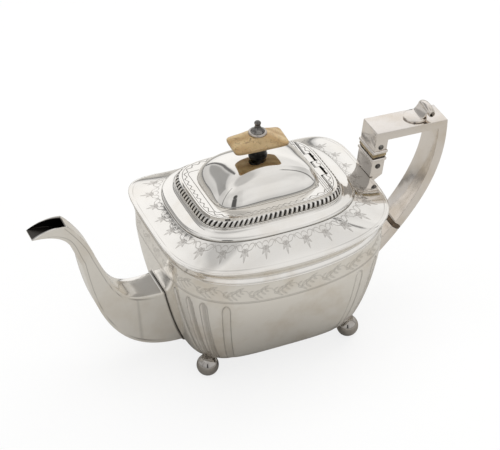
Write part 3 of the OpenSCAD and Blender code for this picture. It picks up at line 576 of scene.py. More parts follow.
# ---- gadroon border ----
# A border of slanting gadroons, cast in silver and soldered round the top of the collar. It stands over two
# fine drawn reeds.
GADROONS, GADROON_STEPS, GADROON_SLANT, GADROON_R = 92, 12, 0.45, 0.95
GADROON_LOW, GADROON_HIGH = GAD_Z + 0.75, SEAT_Z - 0.15
REED_HALF_W, REED_HALF_H = 0.4, 0.36
p, girth = even_angles(GAD_A - 1, GAD_B - 1, LID_N, GADROONS * GADROON_STEPS)
lobe = np.arange(len(p)) / GADROON_STEPS
rings, engraved = [], []
for f in np.linspace(0, 1, 13):
    bulge = np.abs(np.cos(np.pi * (lobe - GADROON_SLANT * f))) ** 0.8
    ends = min(1, 4.5 * math.sin(math.pi * min(0.985, max(0.015, f))))
    lean = 0.25 + 1.25 * f ** 1.6 + GADROON_R
    rings.append(ring(GAD_A - lean, GAD_B - lean, LID_N, GADROON_LOW + (GADROON_HIGH - GADROON_LOW) * f, 0, p,
                      GADROON_R * bulge * ends))
    # near black in the valleys between the lobes
    engraved.append(np.clip((0.84 - bulge) / 0.2, 0, 1) * min(1, ends))
for inset, z in ((2.42, SEAT_Z), (2.42, GAD_Z + 0.1), (0.9, GAD_Z + 0.1)):
    rings.append(ring(GAD_A - inset, GAD_B - inset, LID_N, z, 0, p))
    engraved.append(np.zeros(len(p)))
border = loft("gadroon_casting", rings, True, {"engraved": engraved})
smooth(border, 50)
# cast in sand and chased up by hand: bright worn crowns, and near black between them
gadroon_silver = silver("cast_silver_gadroons", dents=8, tarnish=0.3, rough=0.12, grime_and_shade="1C1713", depth=0.97)
fit(border, "pot", "silver", gadroon_silver, "gadroon_border")
for name, rise, out in (("upper_reed", 0.3, -0.25), ("lower_reed", -0.45, 0.05)):
    reed = wire(name, GAD_A + out, GAD_B + out, LID_N, GAD_Z + rise, 0, q, REED_HALF_W, REED_HALF_H)
    smooth(reed, 60)
    fit(reed, "pot", "silver", plain_silver)

# ---- lid plate, hinge and bezel ----
# The lid's flat border and the fixed leaf are one engraved plate, cut across at the flush hinge. Its five
# knuckles of drawn tube, three fixed and two on the lid, turn on one pin. A bezel soldered under the plate
# drops into the collar.
LID_A, LID_B = 45.9, 34.8
LID_MEAN = 40.0  # mean half width, which turns a share of the plate into mm
STEM_IN, STEM_SWING, STEM_WAVES = 2.7, 0.7, 52
FRAME_X, FRAME_A, FRAME_B, FRAME_R = -3.2, 32.8, 21.3, 3.0
HINGE_X, NOTCH_HALF = 40.7, 2.25  # the pin, and half the length of the notches that the knuckles turn in
SEAM_X, KNUCKLE_IN, KNUCKLE_OUT = 38.55, 3.5, 12.95  # the lid's two knuckles lie between these two


def stroke(tree, value, target, core, edge):
    """1 where a value is within core of its target, and 0 past edge."""
    away = add(tree, "Math", value, target, operation="SUBTRACT")
    away = add(tree, "Math", away, operation="ABSOLUTE")
    return add(tree, "MapRange", away, core, edge, 1.0, 0.0)


def lid_border(tree, place, colour, bump):
    """The lid's cuts, on its flat: an edge line, a wavy stem, an inner frame and three lines along the
    hinge. A black hairline of painted shade marks the gap between lid and leaf."""
    spot = add(tree, "VectorMath", place, (MIDDLE_X, 0, 0), operation="SUBTRACT")
    spot = add(tree, "VectorMath", spot, (1000, 1000, 1000), operation="MULTIPLY")
    xyz = add(tree, "SeparateXYZ", spot)
    x, y = xyz.outputs["X"], xyz.outputs["Y"]
    shares = []
    for value, half in ((x, LID_A), (y, LID_B)):
        share = add(tree, "Math", value, operation="ABSOLUTE")
        share = add(tree, "Math", share, 1 / half, operation="MULTIPLY")
        shares.append(add(tree, "Math", share, LID_N, operation="POWER"))
    reach = add(tree, "Math", add(tree, "Math", *shares, operation="ADD"), 1 / LID_N, operation="POWER")
    inward = add(tree, "Math", 1.0, reach, operation="SUBTRACT")
    inward = add(tree, "Math", inward, LID_MEAN, operation="MULTIPLY")
    turn = add(tree, "Math", y, x, operation="ARCTAN2")
    turn = add(tree, "Math", turn, float(STEM_WAVES), operation="MULTIPLY")
    wave = add(tree, "Math", turn, operation="SINE")
    stem = add(tree, "Math", wave, STEM_SWING, STEM_IN, operation="MULTIPLY_ADD")
    moved = add(tree, "VectorMath", spot, (FRAME_X, 0, 0), operation="SUBTRACT")
    moved = add(tree, "VectorMath", moved, operation="ABSOLUTE")
    moved = add(tree, "VectorMath", moved, (FRAME_A, FRAME_B, 1e4), operation="SUBTRACT")
    moved = add(tree, "VectorMath", moved, (0, 0, 0), operation="MAXIMUM")
    from_frame = add(tree, "VectorMath", moved, operation="LENGTH").outputs["Value"]
    cuts = 0.0
    for value, target, width in ((inward, stem, 0.2), (inward, 1.0, 0.12), (from_frame, FRAME_R, 0.16),
                                 (x, 34.6, 0.14), (x, 36.0, 0.14), (x, 37.3, 0.14)):
        cut = stroke(tree, value, target, width * 0.6, width * 1.6)
        cuts = add(tree, "Math", cuts, cut, operation="MAXIMUM")
    # the hairline of painted shade runs straight, and steps round the lid's knuckles
    y = add(tree, "Math", y, operation="ABSOLUTE")
    past_middle = add(tree, "Math", y, KNUCKLE_IN, operation="GREATER_THAN")
    before_end = add(tree, "Math", y, KNUCKLE_OUT, operation="LESS_THAN")
    turning = add(tree, "Math", past_middle, before_end, operation="MULTIPLY")
    still = add(tree, "Math", 1.0, turning, operation="SUBTRACT")
    along = add(tree, "Math", x, HINGE_X, operation="SUBTRACT")
    along = add(tree, "Math", along, operation="ABSOLUTE")
    beside = add(tree, "Math", along, NOTCH_HALF, operation="LESS_THAN")
    seam_shade = 0.0
    for value, target, where in ((x, SEAM_X, still), (y, KNUCKLE_IN, beside), (y, KNUCKLE_OUT, beside)):
        gap_shade_line = add(tree, "Math", stroke(tree, value, target, 0.16, 0.3), where, operation="MULTIPLY")
        seam_shade = add(tree, "Math", seam_shade, gap_shade_line, operation="MAXIMUM")
    seam_shade = add(tree, "Math", seam_shade, 0.93, operation="MULTIPLY")
    # the black of the hairline is painted shade in the gap
    colour = add(tree, "MixRGB", seam_shade, colour, linear("1A1613"))
    facing = add(tree, "SeparateXYZ", add(tree, "NewGeometry").outputs["Normal"])
    flat = add(tree, "Math", facing.outputs["Z"], 0.9, operation="GREATER_THAN")
    cuts = add(tree, "Math", cuts, flat, operation="MULTIPLY")
    dark = add(tree, "Math", cuts, 0.6, operation="MULTIPLY")
    colour = add(tree, "MixRGB", dark, colour, linear("5B554C"))
    bump = add(tree, "Bump", ("Strength", 1.0), ("Distance", -0.0002), ("Height", cuts), ("Normal", bump))
    return colour, bump


RUB = 3  # size of a rubbed patch, in mm


def oxidised(name, rough, deep, rubbed):
    """Silver left black by sulphide, and rubbed on its high parts. deep and rubbed are its two colours."""
    made, tree = material(name)
    place = add(tree, "TexCoord").outputs["Object"]
    rub = add(tree, "TexNoise", ("Vector", place), ("Scale", 1000 / RUB), ("Detail", 4.0))
    worn = add(tree, "MapRange", rub, 0.45, 0.7, 0.0, 0.6)
    colour = add(tree, "MixRGB", worn, linear(deep), linear(rubbed))
    dull = add(tree, "MapRange", rub, 0.3, 0.8, rough, rough + 0.15)
    bump = add(tree, "Bump", ("Strength", 0.3), ("Distance", 0.0001), ("Height", rub))
    skin = add(tree, "BsdfPrincipled", ("Base Color", colour), ("Metallic", 1.0), ("Roughness", dull),
               ("Normal", bump))
    add(tree, "OutputMaterial", skin)
    return made


# rolled plate, engraved and then burnished: bright and even, with grey cuts
plate_silver = silver("engraved_silver_plate", dents=20, tarnish=0.12, rough=0.1, border=lid_border)
# turned from rod and never cleaned: gone dark grey, and rubbed lighter where a cloth has touched it
dark_silver = oxidised("oxidised_silver", 0.16, "4A4846", "A8A5A0")
for finish, nodes in (
    (plate_silver, ("lid_plate", "hinge_leaf")),
    (plain_silver, ("lid_bezel",)),
    (dark_silver, ("hinge_pin", "finial_stud", "finial_nut", "post_pin", "socket_pin", "lower_pin")),
):
    for node in nodes:
        coat(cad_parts[node], finish)

# ---- lid dome ----
# The middle of the lid is raised by hammer into a soft oblong cushion, and soldered down on the plate round
# its foot. The stud of the finial goes through its crown.
DOME_A, DOME_B, DOME_N, DOME_H = 37, 27.5, 4, 18.9
DOME_Z = LID_Z + DOME_H
CROWN_R, CROWN_HOLE = 6.8, 2
# shares of the half length and half width, squareness, and share of the height
DOME_RINGS = ((1, 1, DOME_N, 0), (0.995, 0.993, 4, 0.03), (0.985, 0.98, 4, 0.1), (0.95, 0.94, 4, 0.25),
              (0.87, 0.86, 4, 0.46), (0.75, 0.74, 3.8, 0.66), (0.58, 0.57, 3.4, 0.82),
              (0.38, 0.38, 2.6, 0.94))


def soften(obj, levels):
    """Rounds a piece off with a subdivision surface."""
    pick(obj)
    soft = obj.modifiers.new("soft", "SUBSURF")
    soft.levels = soft.render_levels = levels
    bpy.ops.object.modifier_apply(modifier="soft")
    smooth(obj, 60)


q, _ = even_angles(DOME_A, DOME_B, DOME_N, 64)
rings = [ring(DOME_A * fa, DOME_B * fb, n, LID_Z + DOME_H * h, 0, q) for fa, fb, n, h in DOME_RINGS]
for r, drop in ((CROWN_R, 0.05), (CROWN_HOLE, 0), (CROWN_HOLE, SHEET), (CROWN_R, SHEET)):
    rings.append(ring(r, r, 2, DOME_Z - drop, 0, q))
for fa, fb, n, h in DOME_RINGS[:1:-1]:
    rings.append(ring(DOME_A * fa - SHEET, DOME_B * fb - SHEET, n, LID_Z + DOME_H * h - SHEET / 2, 0, q))
rings.append(ring(DOME_A - SHEET, DOME_B - SHEET, DOME_N, LID_Z, 0, q))
dome = loft("lid_dome_sheet", rings, True)
soften(dome, 2)
# burnished with polished steel: the nearest thing to a mirror on the pot, with only the longest waves left
dome_silver = silver("burnished_silver_dome", dents=26, tarnish=0.1, rough=0.06)
fit(dome, "lid", "silver", dome_silver, "lid_dome")

# ---- finial pedestal ----
# A short flared pedestal stands on the dome's crown and lifts the plaque clear of it. It is turned in silver,
# blackened, and held by the stud that goes through it.
STUD_HOLE = 1.52
PLAQUE_Z = DOME_Z + 8.4
PEDESTAL = ((5.9, 0), (6.1, 0.4), (6.1, 0.9), (5.95, 1.4), (5.8, 1.9), (5.75, 2.5), (5.85, 4), (6.0, 5.2))
PEDESTAL_CAP = ((6.2, -2.2), (6.45, -1.6), (6.8, -1.3), (6.9, -0.9), (6.85, -0.1), (6.7, 0))  # from its top


def turned(name, profile, steps=72):
    """A profile of radius and height, spun round the pot's upright axis."""
    points = [(MIDDLE_X + r / 1000, 0, z / 1000) for r, z in profile]
    mesh = bpy.data.meshes.new(name)
    mesh.from_pydata(points, [(i, i + 1) for i in range(len(points) - 1)], [])
    obj = put(name, mesh)
    pick(obj)
    bpy.ops.object.mode_set(mode="EDIT")
    bpy.ops.mesh.select_all(action="SELECT")
    bpy.ops.mesh.spin(steps=steps, angle=2 * math.pi, center=(MIDDLE_X, 0, 0), axis=(0, 0, 1))
    bpy.ops.mesh.select_all(action="SELECT")
    bpy.ops.mesh.remove_doubles(threshold=0.000002)
    bpy.ops.mesh.normals_make_consistent(inside=False)
    bpy.ops.object.mode_set(mode="OBJECT")
    smooth(obj, 40)
    return obj


def bored(low, high, profile):
    """An outer profile between two heights, closed round the stud's hole."""
    return [(STUD_HOLE, low)] + profile + [(STUD_HOLE, high), (STUD_HOLE, low)]


low, high = DOME_Z, PLAQUE_Z - 0.05
profile = [(r, low + z) for r, z in PEDESTAL] + [(r, high + z) for r, z in PEDESTAL_CAP]
pedestal = turned("finial_bell", bored(low, high, profile))
# blackened with sulphide and waxed: a black mirror, brown-grey where hands have rubbed it
pedestal_silver = oxidised("blackened_silver_pedestal", 0.07, "1E1D1C", "4A4845")
fit(pedestal, "lid", "dark_silver", pedestal_silver, "finial_pedestal")

# ---- finial plaque ----
# An oblong plaque of ivory with a low crown, sawn and filed to shape and clamped by the stud. It sits a
# little askew.
PLAQUE_H = 7.7
PLAQUE_TOP = PLAQUE_Z + PLAQUE_H
PLAQUE_EDGE = PLAQUE_H * 0.27
PLAQUE_ASKEW = math.radians(-2.7)
# half length, half width, squareness and height of each ring, from the hole below to the hole above
PLAQUE_RINGS = (
    (2, 2, 2, 0), (12, 8, 3, 0), (17.3, 9.3, 8, 0), (18.0, 10.1, 9, 0.25), (18.25, 10.3, 9, 0.6),
    (18.3, 10.35, 9, PLAQUE_EDGE - 0.2), (18.1, 10.2, 9, PLAQUE_EDGE + 0.15),
    (17.2, 9.7, 8, PLAQUE_EDGE + 0.75), (14.3, 8.5, 5, PLAQUE_EDGE + 2.1), (10.3, 7.4, 3, PLAQUE_EDGE + 3.9),
    (6.2, 6.1, 2, PLAQUE_H - 0.05), (5.6, 5.6, 2, PLAQUE_H), (2, 2, 2, PLAQUE_H))
# how far apart the bands sway and the age cracks lie, in mm
SWAY, CRACKS = 14, 5


def ivory(name, light, deep, growth):
    """Aged ivory, cut, filed and polished: wavy growth bands about growth mm apart in two colours, a few
    brown age cracks, and light that goes a little way in."""
    made, tree = material(name)
    place = add(tree, "TexCoord").outputs["Object"]
    turn = add(tree, "Mapping", ("Vector", place), ("Rotation", (0.35, 0.2, 0.5)))
    sway = add(tree, "TexNoise", ("Vector", place), ("Scale", 1000 / SWAY), ("Detail", 3.0))
    radians = 2 * math.pi * 1000 / growth  # per metre; the wave turns by 20 for each unit of its scale
    bands = add(tree, "TexWave", ("Vector", turn), ("Scale", radians / 20), ("Distortion", 9.0),
                ("Detail", 3.0), ("Detail Scale", 0.6), bands_direction="Y")
    fine = add(tree, "MapRange", bands, 0.0, 1.0, 0.25, 0.75)
    tone = add(tree, "Math", fine, sway, operation="MULTIPLY")
    tone = add(tree, "MapRange", tone, 0.1, 0.45, 0.0, 1.0)
    colour = add(tree, "MixRGB", tone, linear(deep), linear(light))
    crack = add(tree, "TexNoise", ("Vector", turn), ("Scale", 1000 / CRACKS), ("Detail", 5.0),
                ("Distortion", 1.2))
    vein = stroke(tree, crack, 0.5, 0.0, 0.016)
    vein = add(tree, "Math", vein, 0.8, operation="MULTIPLY")
    colour = add(tree, "MixRGB", vein, colour, linear("5E4526"))
    bump = add(tree, "Bump", ("Strength", 0.25), ("Distance", 0.0001), ("Height", bands))
    skin = add(tree, "BsdfPrincipled", ("Base Color", colour), ("Roughness", 0.34), ("IOR", 1.54),
               ("Normal", bump), ("Subsurface Weight", 0.15), ("Subsurface Scale", 0.002),
               ("Subsurface Radius", (1.0, 0.6, 0.3)))
    add(tree, "OutputMaterial", skin)
    return made


q, _ = even_angles(18.2, 10.2, 8, 160)
rings = []
for a, b, n, z in PLAQUE_RINGS:
    straight = ring(a, b, n, PLAQUE_Z + z, 0, q)
    x, y = straight[:, 0], straight[:, 1]
    rings.append(np.stack([x * math.cos(PLAQUE_ASKEW) - y * math.sin(PLAQUE_ASKEW),
                           x * math.sin(PLAQUE_ASKEW) + y * math.cos(PLAQUE_ASKEW), straight[:, 2]], 1))
plaque = loft("ivory_plaque", rings, True)
soften(plaque, 1)
# cut along the tusk: straw and tan bands, darker than new ivory from handling and smoke
plaque_ivory = ivory("aged_ivory", "CBB285", "AE8F62", 10.05)
fit(plaque, "lid", "ivory", plaque_ivory, "finial_plaque")

# ---- finial disc and bud ----
# A bright silver disc and a small dark bud, both turned, close the finial over the plaque. The bud is fixed
# on the stud, which a nut holds inside the lid.
DISC_H = 1.3
DISC = ((5.6, 0), (5.9, 0.2), (6.0, 0.6), (5.9, 1.0), (5.5, DISC_H))
BUD_H = 7.48
BUD = ((4.6, 0), (4.65, 0.3), (4.5, 0.6), (3.4, 1.5), (2.4, 2.6), (1.9, 3.8))
# down from its top
BUD_TIP = ((1.7, -2.6), (2.0, -2.1), (2.15, -1.6), (2.15, -1.0), (1.6, -0.3), (0.8, -0.05), (0, 0))
low = PLAQUE_TOP
disc = turned("finial_washer", bored(low, low + DISC_H, [(r, low + z) for r, z in DISC]))
# turned: painted greyer than the rest as shade and dark reflection, with a strong bloom of tarnish
disc_silver = silver("shaded_silver_disc", dents=6, tarnish=0.6, rough=0.1, clear="BDB5AE")
fit(disc, "lid", "silver", disc_silver, "finial_disc")
low += DISC_H + 0.02
high = low + BUD_H
profile = [(STUD_HOLE, low)] + [(r, low + z) for r, z in BUD] + [(r, high + z) for r, z in BUD_TIP]
bud = turned("finial_knop", profile)
# blackened like the pedestal, but rubbed bright by the thumb that lifts the lid
bud_silver = oxidised("rubbed_silver_bud", 0.07, "6A6764", "D8D4CE")
fit(bud, "lid", "dark_silver", bud_silver, "finial_bud")

# ---- spout ----
# The spout is folded from sheet silver with flat sides and crisp edges, and seamed along its length. Two
# cut lines run along each side, and a flange at its root is soldered to the wall over the strainer.
TIP = np.array([-153.4, 119.4])  # x and z of the pointed lip
MOUTH_BACK = TIP + (22.4, 4.8)
ROOT_TOP, ROOT_LOW = BASE_Z + 43, BASE_Z + 1
HALF_ROOT, HALF_NECK, HALF_MOUTH = 12, 7.8, 6.2
SPOUT_T = 1.1
LINE_IN = 2.4
MOUTH_ARCH = 2
CORNER, CORNER_RUN, CORNER_SIDE = 0.55, 0.16, 0.16  # the small round along each edge
# how far each ring of the flange stands off the wall, how far it spreads, and the painted shade along it at
# the wall
FLANGE = ((0.2, 0.8, 0.8), (1.3, 0.8, 0), (1.7, 0.45, 0), (1.75, 0, 0))
SIDE = np.linspace(0, 1, 41)
wall_share = np.linspace(0, 1, 60)
wall_x = BASE_A + (WALL_A - BASE_A) * swell(wall_share)
wall_z = BASE_Z + (BAND_Z - BASE_Z) * wall_share + BELT_SHEER * wall_share * (wall_x / RIM_A) ** 2


def end_x(z):
    """How far out the wall's end stands at a height."""
    return np.interp(z, wall_z, wall_x)


def cubic(points, t):
    """A place on a curve with four control points."""
    q = [np.asarray(point, float) for point in points]
    return (1 - t) ** 3 * q[0] + 3 * t * (1 - t) ** 2 * q[1] + 3 * t * t * (1 - t) * q[2] + t ** 3 * q[3]


def heading(points, t):
    """The direction of the same curve."""
    q = [np.asarray(point, float) for point in points]
    v = (1 - t) ** 2 * (q[1] - q[0]) + 2 * t * (1 - t) * (q[2] - q[1]) + t * t * (q[3] - q[2])
    return v / np.hypot(*v)


neck_a, neck_b = TIP + (39.4, -23), TIP + (30.4, -27)
root_a = np.array([-end_x(ROOT_TOP) - FLANGE[2][0], ROOT_TOP])
root_b = np.array([-end_x(ROOT_LOW) - FLANGE[2][0], ROOT_LOW])
upper_edge = [[root_a, root_a + (-30, -0.9), neck_a + (12.5, -30), neck_a],
              [neck_a, neck_a + (-3, 11.2), MOUTH_BACK + (2.7, -2), MOUTH_BACK]]
lower_edge = [[root_b, root_b + (-46.6, -2.2), neck_b + (5.7, -35.7), neck_b],
              [neck_b, neck_b + (-6, 11.6), TIP + (27.6, -0.4), TIP]]


def edge_at(edges, s, deep):
    """A place deep inside an edge, which runs from the root at 0 to the neck at 1 and the mouth at 2."""
    part = 0 if s < 1 else 1
    v = heading(edges[part], s - part)
    return cubic(edges[part], s - part) + np.array([-v[1], v[0]]) * deep


def half_at(s):
    """Half the spout's width."""
    if s < 1:
        return HALF_ROOT + (HALF_NECK - HALF_ROOT) * s ** 0.8
    return HALF_NECK + (HALF_MOUTH - HALF_NECK) * (s - 1)


def arch_at(s):
    """How far the sides arch up, only at the mouth."""
    return MOUTH_ARCH * max(0, (s - 1.8) / 0.2) ** 2


def section(top, low, half, arch=0, wall=None):
    """One ring of the spout: down its back side and up its front side, with a small round at each corner.
    wall lays it that far off the body's wall."""
    deep = np.hypot(*(low - top))
    run = (low - top) / deep
    across = [top + run * (CORNER + (deep - 2 * CORNER) * f) + (0, arch * 4 * f * (1 - f)) for f in SIDE]
    a, b = top + run * CORNER_RUN, low - run * CORNER_RUN
    out = [(top[0], half - CORNER, top[1]), (a[0], half - CORNER_SIDE, a[1])]
    out += [(x, half, z) for x, z in across]
    out += [(b[0], half - CORNER_SIDE, b[1]), (low[0], half - CORNER, low[1])]
    out += [(low[0], half * f, low[1]) for f in (0.6, 0.2, -0.2, -0.6)]
    out += [(x, -y, z) for x, y, z in out[:len(SIDE) + 4][::-1]]
    out += [(top[0], half * f, top[1]) for f in (-0.6, -0.2, 0.2, 0.6)]
    out = np.array(out)
    if wall is not None:
        out[:, 0] = -end_x(out[:, 2]) - wall
    return out


def root_ring(grow, out):
    """The spout's root, grown all round by a little, at a distance from the body's wall."""
    return section(np.array([0, ROOT_TOP + grow]), np.array([0, ROOT_LOW - grow]), HALF_ROOT + grow, 0, out)


steps = np.concatenate([np.linspace(0.04, 1, 46), np.linspace(1.03, 2, 44)])
PANEL_STEP = steps[9]  # where a line across closes the panel at the root
rings, engraved = [], []
for out, grow, polish in FLANGE:
    rings.append(root_ring(grow, out))
    # the first ring's dark is painted shade where the flange meets the wall
    engraved.append(np.full(len(rings[0]), float(polish)))
for s in steps:
    top, low = edge_at(upper_edge, s, 0), edge_at(lower_edge, s, 0)
    rings.append(section(top, low, half_at(s), arch_at(s)))
    gap = np.hypot(*(low - top))
    cut = np.zeros(len(rings[-1]))
    far = CORNER + (gap - 2 * CORNER) * SIDE
    if s < 1.9:
        mark = np.maximum(line(far - LINE_IN, 0.22), line(gap - far - LINE_IN, 0.22))
        if s == PANEL_STEP:
            mark = np.maximum(mark, ((far > LINE_IN + 0.2) & (gap - far > LINE_IN + 0.2)) * 0.35)
        cut[2:2 + len(SIDE)] = mark
        cut[len(SIDE) + 10:2 * len(SIDE) + 10] = mark[::-1]
    engraved.append(cut * 0.6)
for s in steps[::-1][::3]:
    top, low = edge_at(upper_edge, s, SPOUT_T), edge_at(lower_edge, s, -SPOUT_T)
    rings.append(section(top, low, half_at(s) - SPOUT_T, arch_at(s)))
    # the lining is painted near black: painted shade inside the spout
    engraved.append(np.ones(len(rings[0])))
rings.append(root_ring(-SPOUT_T, FLANGE[0][0]))
engraved.append(np.zeros(len(rings[0])))
spout = loft("spout_sheet", rings, True, {"engraved": engraved})
smooth(spout, 28)
# folded and filed: slightly rippled flats, a softer polish than the body's, and a lining painted near black
# as shade
spout_silver = silver("sterling_silver_spout", dents=16, tarnish=0.3, rough=0.12, grime_and_shade="1F1914", depth=0.96)
fit(spout, "pot", "silver", spout_silver, "spout")

# ---- feet ----
# Four solid silver balls, each on a short collet that is soldered under a corner of the pot. Each has a small
# flat, worn where it stands.
BALL_R = 7.3
COLLET = ((3.8, -1.2), (3.9, -0.5), (3.7, -0.06), (0, -0.06))  # its height is under the base
FOOT_X, FOOT_Y = 50.5, 33.6
arc = [(BALL_R * math.sin(angle), max(0, BALL_R - 0.2 - BALL_R * math.cos(angle)))
       for angle in np.linspace(0.235, math.pi - 0.5, 30)]
foot = turned("foot_ball", [(0, 0)] + arc + [(r, BASE_Z + z) for r, z in COLLET], 96)
# turned from bar and polished on the lathe: near mirrors, painted a little darker than the sheet as the dark
# reflection of floor and pot
foot_silver = silver("sterling_silver_feet", dents=9, tarnish=0.3, rough=0.05, clear="B0ACA8")
for end, x in (("spout", -FOOT_X), ("handle", FOOT_X)):
    for side, y in (("front", -FOOT_Y), ("back", FOOT_Y)):
        ball = put(f"ball_{end}_{side}", foot.data.copy())
        ball.data.transform(Matrix.Translation((x / 1000, y / 1000, 0)))
        fit(ball, "pot", "silver", foot_silver, f"foot_{end}_{side}")
bpy.data.objects.remove(foot)

# ---- handle ----
# A hollow square tube of sheet silver, mitred and soldered: a leaning post, a level arm and one long curve
# that comes back to the wall.
HANDLE_W, HANDLE_T = 20, 6.4
POST_X, POST_T, POST_LEAN = 79.6, 9, math.radians(7.5)
REACH, RIM_END = 131, 105.1  # the handle's far side, and the height of the rim's end
ARM_Z, ARM_DROP = RIM_END + 33.1, 2.4
CORNER_Z = ARM_Z - ARM_DROP
POST_FOOT = ARM_Z - 13.8
LUG_Z = 40.5
curve = [(REACH, CORNER_Z), (REACH, ARM_Z - 34.2), (REACH - 9, ARM_Z - 60.2), (end_x(LUG_Z) + 16, LUG_Z)]
JOINT = 0.83  # share of the curve where the lower slip cuts it
across_post = POST_T / math.cos(POST_LEAN)


def inside(t, deep):
    """A place on the curve, deep inside its outer face."""
    v = heading(curve, t)
    return cubic(curve, t) + np.array([v[1], -v[0]]) * deep


def post_x(z):
    """The post's near face at a height."""
    return POST_X - (ARM_Z - z) * math.tan(POST_LEAN)


def slab(name, outline, width, bevel, finish, slot="silver", nodes=()):
    """An outline of x and z, extruded across the handle and softened along its edges."""
    points = [(MIDDLE_X + x / 1000, -width / 2000, z / 1000) for x, z in outline]
    mesh = bpy.data.meshes.new(name)
    mesh.from_pydata(points, [], [list(range(len(points)))])
    obj = put(name, mesh)
    pick(obj)
    bpy.ops.object.mode_set(mode="EDIT")
    bpy.ops.mesh.select_all(action="SELECT")
    bpy.ops.mesh.extrude_region_move(TRANSFORM_OT_translate={"value": (0, width / 1000, 0)})
    bpy.ops.mesh.select_all(action="SELECT")
    bpy.ops.mesh.normals_make_consistent(inside=False)
    bpy.ops.object.mode_set(mode="OBJECT")
    if bevel:
        soft = obj.modifiers.new("soft", "BEVEL")
        soft.width = bevel / 1000
        soft.segments = 3
        soft.limit_method = "ANGLE"
        soft.angle_limit = math.radians(30)
        soft.harden_normals = False
        bpy.ops.object.modifier_apply(modifier="soft")
    smooth(obj, 30)
    fit(obj, "pot", slot, finish, *nodes)


# rolled sheet, often held in the hand: a satin polish of fine scratches, with warm patches
handle_silver = silver("satin_silver_handle", dents=14, tarnish=0.45, rough=0.14, clear="E6E0DA")
outer_curve = [inside(JOINT * i / 60, 0) for i in range(61)]
inner_curve = [inside(0.06 + (JOINT - 0.06) * i / 60, HANDLE_T) for i in range(60, -1, -1)]
under_arm = ARM_Z - HANDLE_T
post = [(post_x(under_arm) + across_post, under_arm - 0.4), (post_x(POST_FOOT) + across_post, POST_FOOT),
        (post_x(POST_FOOT), POST_FOOT)]
slab("handle_tube", [(POST_X, ARM_Z)] + outer_curve + inner_curve + post, HANDLE_W, 0.35, handle_silver,
     nodes=("handle_frame",))

# ---- upper joint ----
# The post ends in a moulding and rests on a slip of ivory, which keeps the heat out of the handle. Under it a
# silver socket, with a moulding of its own, is soldered to the rim. A rivet holds each side of the joint.
MOULDING_OUT = 0.8
SLIP_LOW, GAP_LOW, SOCKET_TOP = 4.5, 5.6, 5.65  # under the post
RIVET_R, RIVET_FLAT = 0.0019, 0.35  # the head's radius in m, and how flat it is


def post_block(low, high, grow):
    """A slice of the post between two heights, grown on its two faces."""
    return [(post_x(high) - grow, high), (post_x(high) + across_post + grow, high),
            (post_x(low) + across_post + grow, low), (post_x(low) - grow, low)]


# cut and filed like the plaque, but paler and closer banded, and seldom touched
insulator_ivory = ivory("aged_ivory_slips", "CBB894", "A08C66", 7.54)
top = POST_FOOT - 0.05
slab("post_foot_moulding", post_block(top - 2.15, top, MOULDING_OUT), HANDLE_W + 2 * MOULDING_OUT, 0.7,
     handle_silver, nodes=("post_moulding",))
slab("post_insulator", post_block(top - SLIP_LOW, top - 2.2, 0.2), HANDLE_W + 0.4, 0.3, insulator_ivory,
     "ivory", ("upper_insulator",))
# a dark sheet set back in the gap under the slip: painted shade
slab("post_gap_shade", post_block(top - GAP_LOW, top - SLIP_LOW, -0.3), HANDLE_W - 0.6, 0, dark_silver,
     "dark_silver")
for pin in ("post_pin", "socket_pin"):
    middle = (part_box(pin)[0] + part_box(pin)[1]) / 2
    bpy.ops.object.select_all(action="DESELECT")
    bpy.ops.mesh.primitive_uv_sphere_add(segments=32, ring_count=16, radius=RIVET_R)
    rivet = bpy.context.object
    rivet.name = pin + "_head"
    rivet.data.transform(Matrix.Diagonal((1, RIVET_FLAT, 1, 1)))
    rivet.data.transform(Matrix.Translation((middle.x, -HANDLE_W / 2000, middle.z)))
    smooth(rivet, 60)
    fit(rivet, "pot", "dark_silver", dark_silver)
low = top - SOCKET_TOP
hook = RIM_A + 1.15
socket = [(post_x(low - 2), low - 2), (post_x(low - 2) + across_post, low - 2),
          (post_x(RIM_END) + across_post, RIM_END + 0.6), (hook, RIM_END - 3.6), (hook, RIM_END + 0.5),
          (post_x(RIM_END), RIM_END + 0.5)]
slab("rim_socket", socket, HANDLE_W, 0.3, handle_silver, nodes=("upper_socket",))
slab("rim_socket_moulding", post_block(low - 2, low, MOULDING_OUT), HANDLE_W + 2 * MOULDING_OUT, 0.7,
     handle_silver)

# ---- lower joint ----
# A thin slip of ivory cuts across the foot of the curve. Below it a solid silver socket is soldered to the
# wall, and a pin runs up through both.
SLIP_START, SLIP_END, SOCKET_START = JOINT + 0.002, JOINT + 0.022, JOINT + 0.024
# the same ivory, painted dark brown as the shade in the joint
shaded_slip_ivory = ivory("shaded_ivory_slip", "8F7A5E", "5A4836", 7.54)
slip = [inside(SLIP_START, 0.1), inside(SLIP_END, 0.1), inside(SLIP_END, HANDLE_T - 0.1),
        inside(SLIP_START, HANDLE_T - 0.1)]
slab("lower_slip", slip, HANDLE_W - 0.2, 0.1, shaded_slip_ivory, "ivory", ("lower_insulator",))
lug = [inside(SOCKET_START + (1 - SOCKET_START) * i / 20, 0) for i in range(21)]
lug += [(end_x(z) + 0.2, z) for z in np.linspace(38, 54, 13)]
lug += [inside(0.94, HANDLE_T + 1), inside(SOCKET_START, HANDLE_T)]
slab("lower_lug", lug, HANDLE_W, 0.3, handle_silver, nodes=("lower_socket",))

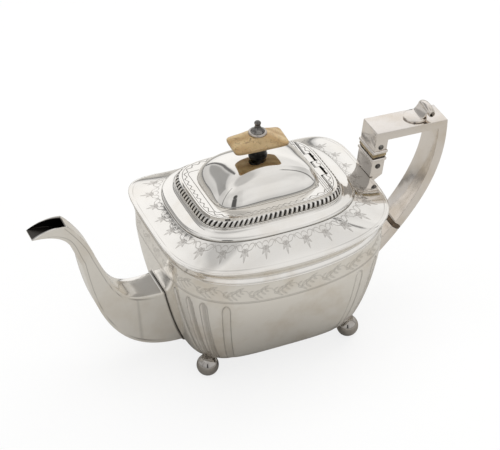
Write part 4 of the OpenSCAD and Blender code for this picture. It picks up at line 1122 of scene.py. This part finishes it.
# ---- thumbpiece ----
# A flat round shell of sheet silver is soldered on the arm. A tongue sweeps up from it and rolls over into
# a scroll for the thumb.
SWEEP_X = REACH - 19
SHELL_R, SHELL_H = 8, 1.3
TONGUE_L, TONGUE_RISE, TONGUE_W, TONGUE_T = 6.5, 4.6, 12.6, 1.3
ROLL_T = 0.34
# across the handle, and the roll's radius there, which is smaller towards its ends
ROLL_RINGS = ((-7.8, 2.1), (-7.2, 2.4), (-5.2, 2.7), (-2.4, 2.8), (0, 2.8), (2.4, 2.8), (5.2, 2.7),
              (7.2, 2.4), (7.8, 2.1))


def arm_top(x):
    """The height of the arm's top face."""
    return ARM_Z - (x - POST_X) * ARM_DROP / (REACH - POST_X) + 0.05


low = arm_top(SWEEP_X - SHELL_R)
circle = np.linspace(0, 2 * np.pi, 65)[:-1]
rings = []
for share, z in ((0.02, 0), (1, 0), (1, 0.9), (0.93, SHELL_H), (0.02, SHELL_H)):
    x, y = SHELL_R * share * np.cos(circle), SHELL_R * share * np.sin(circle)
    rings.append(np.stack([SWEEP_X + x, y, np.full(len(circle), low + z)], 1))
shell = loft("thumb_shell", rings, True)
smooth(shell, 40)
fit(shell, "pot", "silver", handle_silver, "thumbpiece")
s = np.linspace(0, 1, 14)
upper = [(SWEEP_X - 1 + TONGUE_L * f, low + SHELL_H + TONGUE_RISE * f ** 2.2) for f in s]
lower = [(x + TONGUE_T * f, z - TONGUE_T * (1 - f) - 0.2 * f) for (x, z), f in zip(upper, s)]
slab("thumb_sweep", upper + lower[::-1], TONGUE_W, 0.25, handle_silver)
around = np.linspace(0, 1, 56)
turns = np.radians(190 - 640 * around)
rings = []
for y, size in ROLL_RINGS:
    spiral = size * (1 - 0.72 * np.maximum(0, around - 0.5) / 0.5)
    outer = np.stack([spiral * np.cos(turns), spiral * np.sin(turns)], 1)
    inner = outer * ((spiral - ROLL_T) / spiral)[:, None]
    both = np.concatenate([outer, inner[::-1]])
    rings.append(np.stack([SWEEP_X + 8.2 + both[:, 0], np.full(len(both), float(y)),
                           low + 5.8 - 0.028 * y * y + both[:, 1]], 1))
roll = loft("thumb_roll", rings, caps=True)
smooth(roll, 40)
fit(roll, "pot", "silver", handle_silver)
